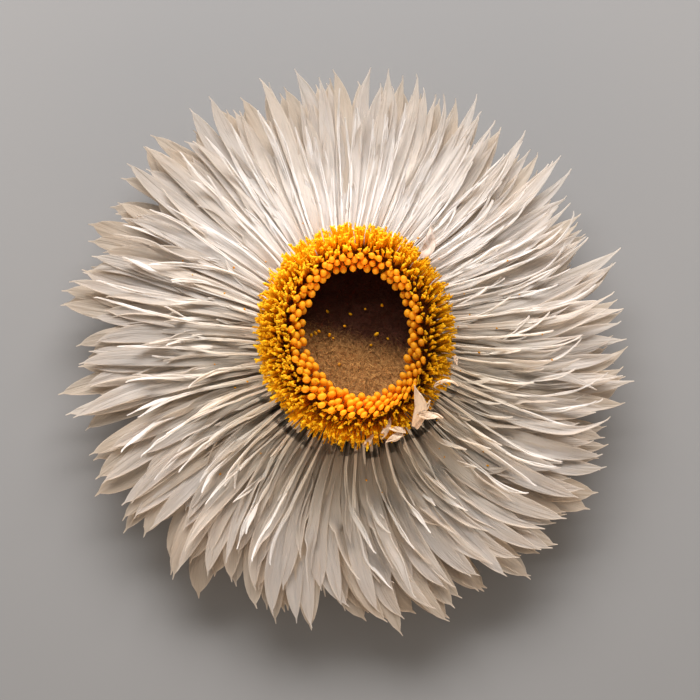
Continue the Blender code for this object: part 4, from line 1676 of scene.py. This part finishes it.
class STRAWFLOWER_OT_crumbs(bpy.types.Operator):
    """Scatter crumbs of pollen over the bracts and the hollow"""

    bl_idname = "strawflower.crumbs"
    bl_label = "Crumbs"

    def execute(self, context):
        look = context.scene.strawflower_disc
        graph = context.evaluated_depsgraph_get()
        trees = [BVHTree.FromObject(bpy.data.objects[name], graph) for name in CRUMBED_PIECES]
        chance = np.random.default_rng(look.seed + 60)
        places = []
        for count, span, crowding, sizes in CRUMBS:
            for _ in range(count):
                radius = between(span, chance.uniform() ** crowding)
                turn = chance.uniform(0, math.tau)
                place = dropped_point(radius * math.cos(turn), radius * math.sin(turn), trees)
                if place is not None:
                    places.append((place, chance.uniform(*sizes)))
        colours = (look.bud_colour, look.floret_colour, look.floret_colour)
        surface = floret_material("crumb", *colours, CRUMB_ROUGHNESS)
        points, faces = [], []
        for place, radius in places:
            spin = Vector(chance.normal(size=3)).normalized()
            middle = place + Vector((0, 0, radius * CRUMB_LIFT))
            path = [middle + spin * radius * step for step, _ in CRUMB_OUTLINE]
            radii = [radius * width for _, width in CRUMB_OUTLINE]
            more, more_faces = tube_along(path, radii, 5, len(points))
            points += more
            faces += more_faces
        count = len(points)
        numbers = {"rise": np.full(count, 0.8), "tone": chance.uniform(-1, 1, count)}
        obj = mesh_object("pollen_crumbs", np.array(points), np.array(faces), surface, numbers)
        dress(obj, "floret")
        return {"FINISHED"}


# Stage


class StageSettings(bpy.types.PropertyGroup):
    """Camera, floor and lights."""

    lens: FloatProperty(
        name="Lens", description="Focal length", default=100.0, subtype="DISTANCE_CAMERA"
    )
    distance: FloatProperty(
        name="Distance", description="From the camera to the head", default=356 * MM, unit="LENGTH"
    )
    elevation: FloatProperty(
        name="Elevation", description="Of the camera", default=math.radians(80), subtype="ANGLE"
    )
    key_power: FloatProperty(
        name="Key light", description="Power of the light from behind", default=2.25, unit="POWER"
    )
    fill_power: FloatProperty(
        name="Fill light", description="Power of the low light in front", default=3.5, unit="POWER"
    )
    floor_colour: colour_property("Floor", "The floor's colour", 0.22, 0.215, 0.21)


CAMERA_TARGET = Vector((-0.73 * MM, -0.47 * MM, 5 * MM))
HEAD_MIDDLE = Vector((0, 0, 8 * MM))
SENSOR_WIDTH = 24
FLOOR_SIZE = 1.6
FLOOR_DIM = 0.96  # its darker grain
FLOOR_SCALE = 40.0
FLOOR_RELIEF = 0.02 * MM
KEY_LIGHT = {
    "azimuth": math.radians(95),
    "elevation": math.radians(39),
    "distance": 0.3,
    "size": (0.38, 0.16),  # across and up
    "colour": (1.0, 0.985, 0.99),
}
FILL_LIGHT = {
    "azimuth": math.radians(-90),
    "elevation": math.radians(9),
    "distance": 0.6,
    "size": (0.4, 0.1),
    "colour": (1.0, 0.83, 0.67),
}
STUDIO_COLOUR = (1.0, 0.96, 0.92)
STUDIO_STRENGTH = 0.33


def aimed(obj, place, target):
    obj.location = place
    obj.rotation_mode = "QUATERNION"
    obj.rotation_quaternion = (Vector(target) - Vector(place)).to_track_quat("-Z", "Y")


def soft_light(name, power, azimuth, elevation, distance, size, colour):
    """A rectangular light that faces the head's middle from the direction and distance given."""
    light = bpy.data.lights.new(name, "AREA")
    light.energy = power
    light.shape = "RECTANGLE"
    light.size, light.size_y = size
    light.color = colour
    level = math.cos(elevation)
    way = Vector((level * math.cos(azimuth), level * math.sin(azimuth), math.sin(elevation)))
    aimed(new_object(name, light), HEAD_MIDDLE + distance * way, HEAD_MIDDLE)


class STRAWFLOWER_OT_stage(bpy.types.Operator):
    """Set up the camera, a plain pale floor and soft lights"""

    bl_idname = "strawflower.stage"
    bl_label = "Stage"

    def execute(self, context):
        look = context.scene.strawflower_stage
        lens = bpy.data.cameras.new("camera")
        lens.lens = look.lens
        lens.sensor_width = SENSOR_WIDTH
        camera = new_object("camera", lens)
        back = Vector((0, -math.cos(look.elevation), math.sin(look.elevation)))
        aimed(camera, CAMERA_TARGET + back * look.distance, CAMERA_TARGET)
        context.scene.camera = camera
        corners = FLOOR_SIZE / 2 * np.array(((-1, -1, 0), (1, -1, 0), (1, 1, 0), (-1, 1, 0)))
        material, graph = new_material("floor")
        grain = graph.noise(graph.add("ShaderNodeTexCoord", output=3), FLOOR_SCALE, 3.0)
        dim = tuple(channel * FLOOR_DIM for channel in look.floor_colour)
        colour = graph.mix(grain, dim, look.floor_colour)
        finish_material(graph, colour, 0.8 + grain * 0.1, graph.bump(grain, FLOOR_RELIEF))
        floor = mesh_object("floor", corners, np.array(((0, 1, 2, 3),)), material)
        soft_light("key", look.key_power, **KEY_LIGHT)
        soft_light("fill", look.fill_power, **FILL_LIGHT)
        world = bpy.data.worlds.new("studio")
        world.use_nodes = True
        background = world.node_tree.nodes["Background"]
        background.inputs["Color"].default_value = opaque(STUDIO_COLOUR)
        background.inputs["Strength"].default_value = STUDIO_STRENGTH
        context.scene.world = world
        context.scene.view_settings.view_transform = "Standard"
        return {"FINISHED"}


class STRAWFLOWER_PT_panel(bpy.types.Panel):
    """Lists the head's sizes and colours, and a button for each piece"""

    bl_label = "Strawflower"
    bl_idname = "STRAWFLOWER_PT_panel"
    bl_space_type = "VIEW_3D"
    bl_region_type = "UI"
    bl_category = "Strawflower"

    def draw(self, context):
        layout = self.layout
        for title in SETTINGS:
            settings = getattr(context.scene, title)
            for name in settings.__annotations__:
                layout.prop(settings, name)
        for operator in OPERATORS:
            layout.operator(operator.bl_idname)


SETTINGS = {
    "strawflower_bracts": BractSettings,
    "strawflower_disc": DiscSettings,
    "strawflower_underside": UndersideSettings,
    "strawflower_stage": StageSettings,
}
OPERATORS = (
    STRAWFLOWER_OT_lower_bracts,
    STRAWFLOWER_OT_upper_bracts,
    STRAWFLOWER_OT_open_florets,
    STRAWFLOWER_OT_floret_buds,
    STRAWFLOWER_OT_fuzz,
    STRAWFLOWER_OT_brown_scales,
    STRAWFLOWER_OT_receptacle,
    STRAWFLOWER_OT_rim_scales,
    STRAWFLOWER_OT_crumbs,
    STRAWFLOWER_OT_stage,
)


def register():
    for cls in (*SETTINGS.values(), *OPERATORS, STRAWFLOWER_PT_panel):
        bpy.utils.register_class(cls)
    for title, settings in SETTINGS.items():
        setattr(bpy.types.Scene, title, PointerProperty(type=settings))


def unregister():
    for title in SETTINGS:
        delattr(bpy.types.Scene, title)
    for cls in reversed((*SETTINGS.values(), *OPERATORS, STRAWFLOWER_PT_panel)):
        bpy.utils.unregister_class(cls)


def main():
    register()
    bpy.ops.strawflower.lower_bracts()
    bpy.ops.strawflower.upper_bracts()
    bpy.ops.strawflower.open_florets()
    bpy.ops.strawflower.floret_buds()
    bpy.ops.strawflower.fuzz()
    bpy.ops.strawflower.brown_scales()
    bpy.ops.strawflower.receptacle()
    bpy.ops.strawflower.rim_scales()
    bpy.ops.strawflower.crumbs()
    bpy.ops.strawflower.stage()


if __name__ == "__main__":
    main()
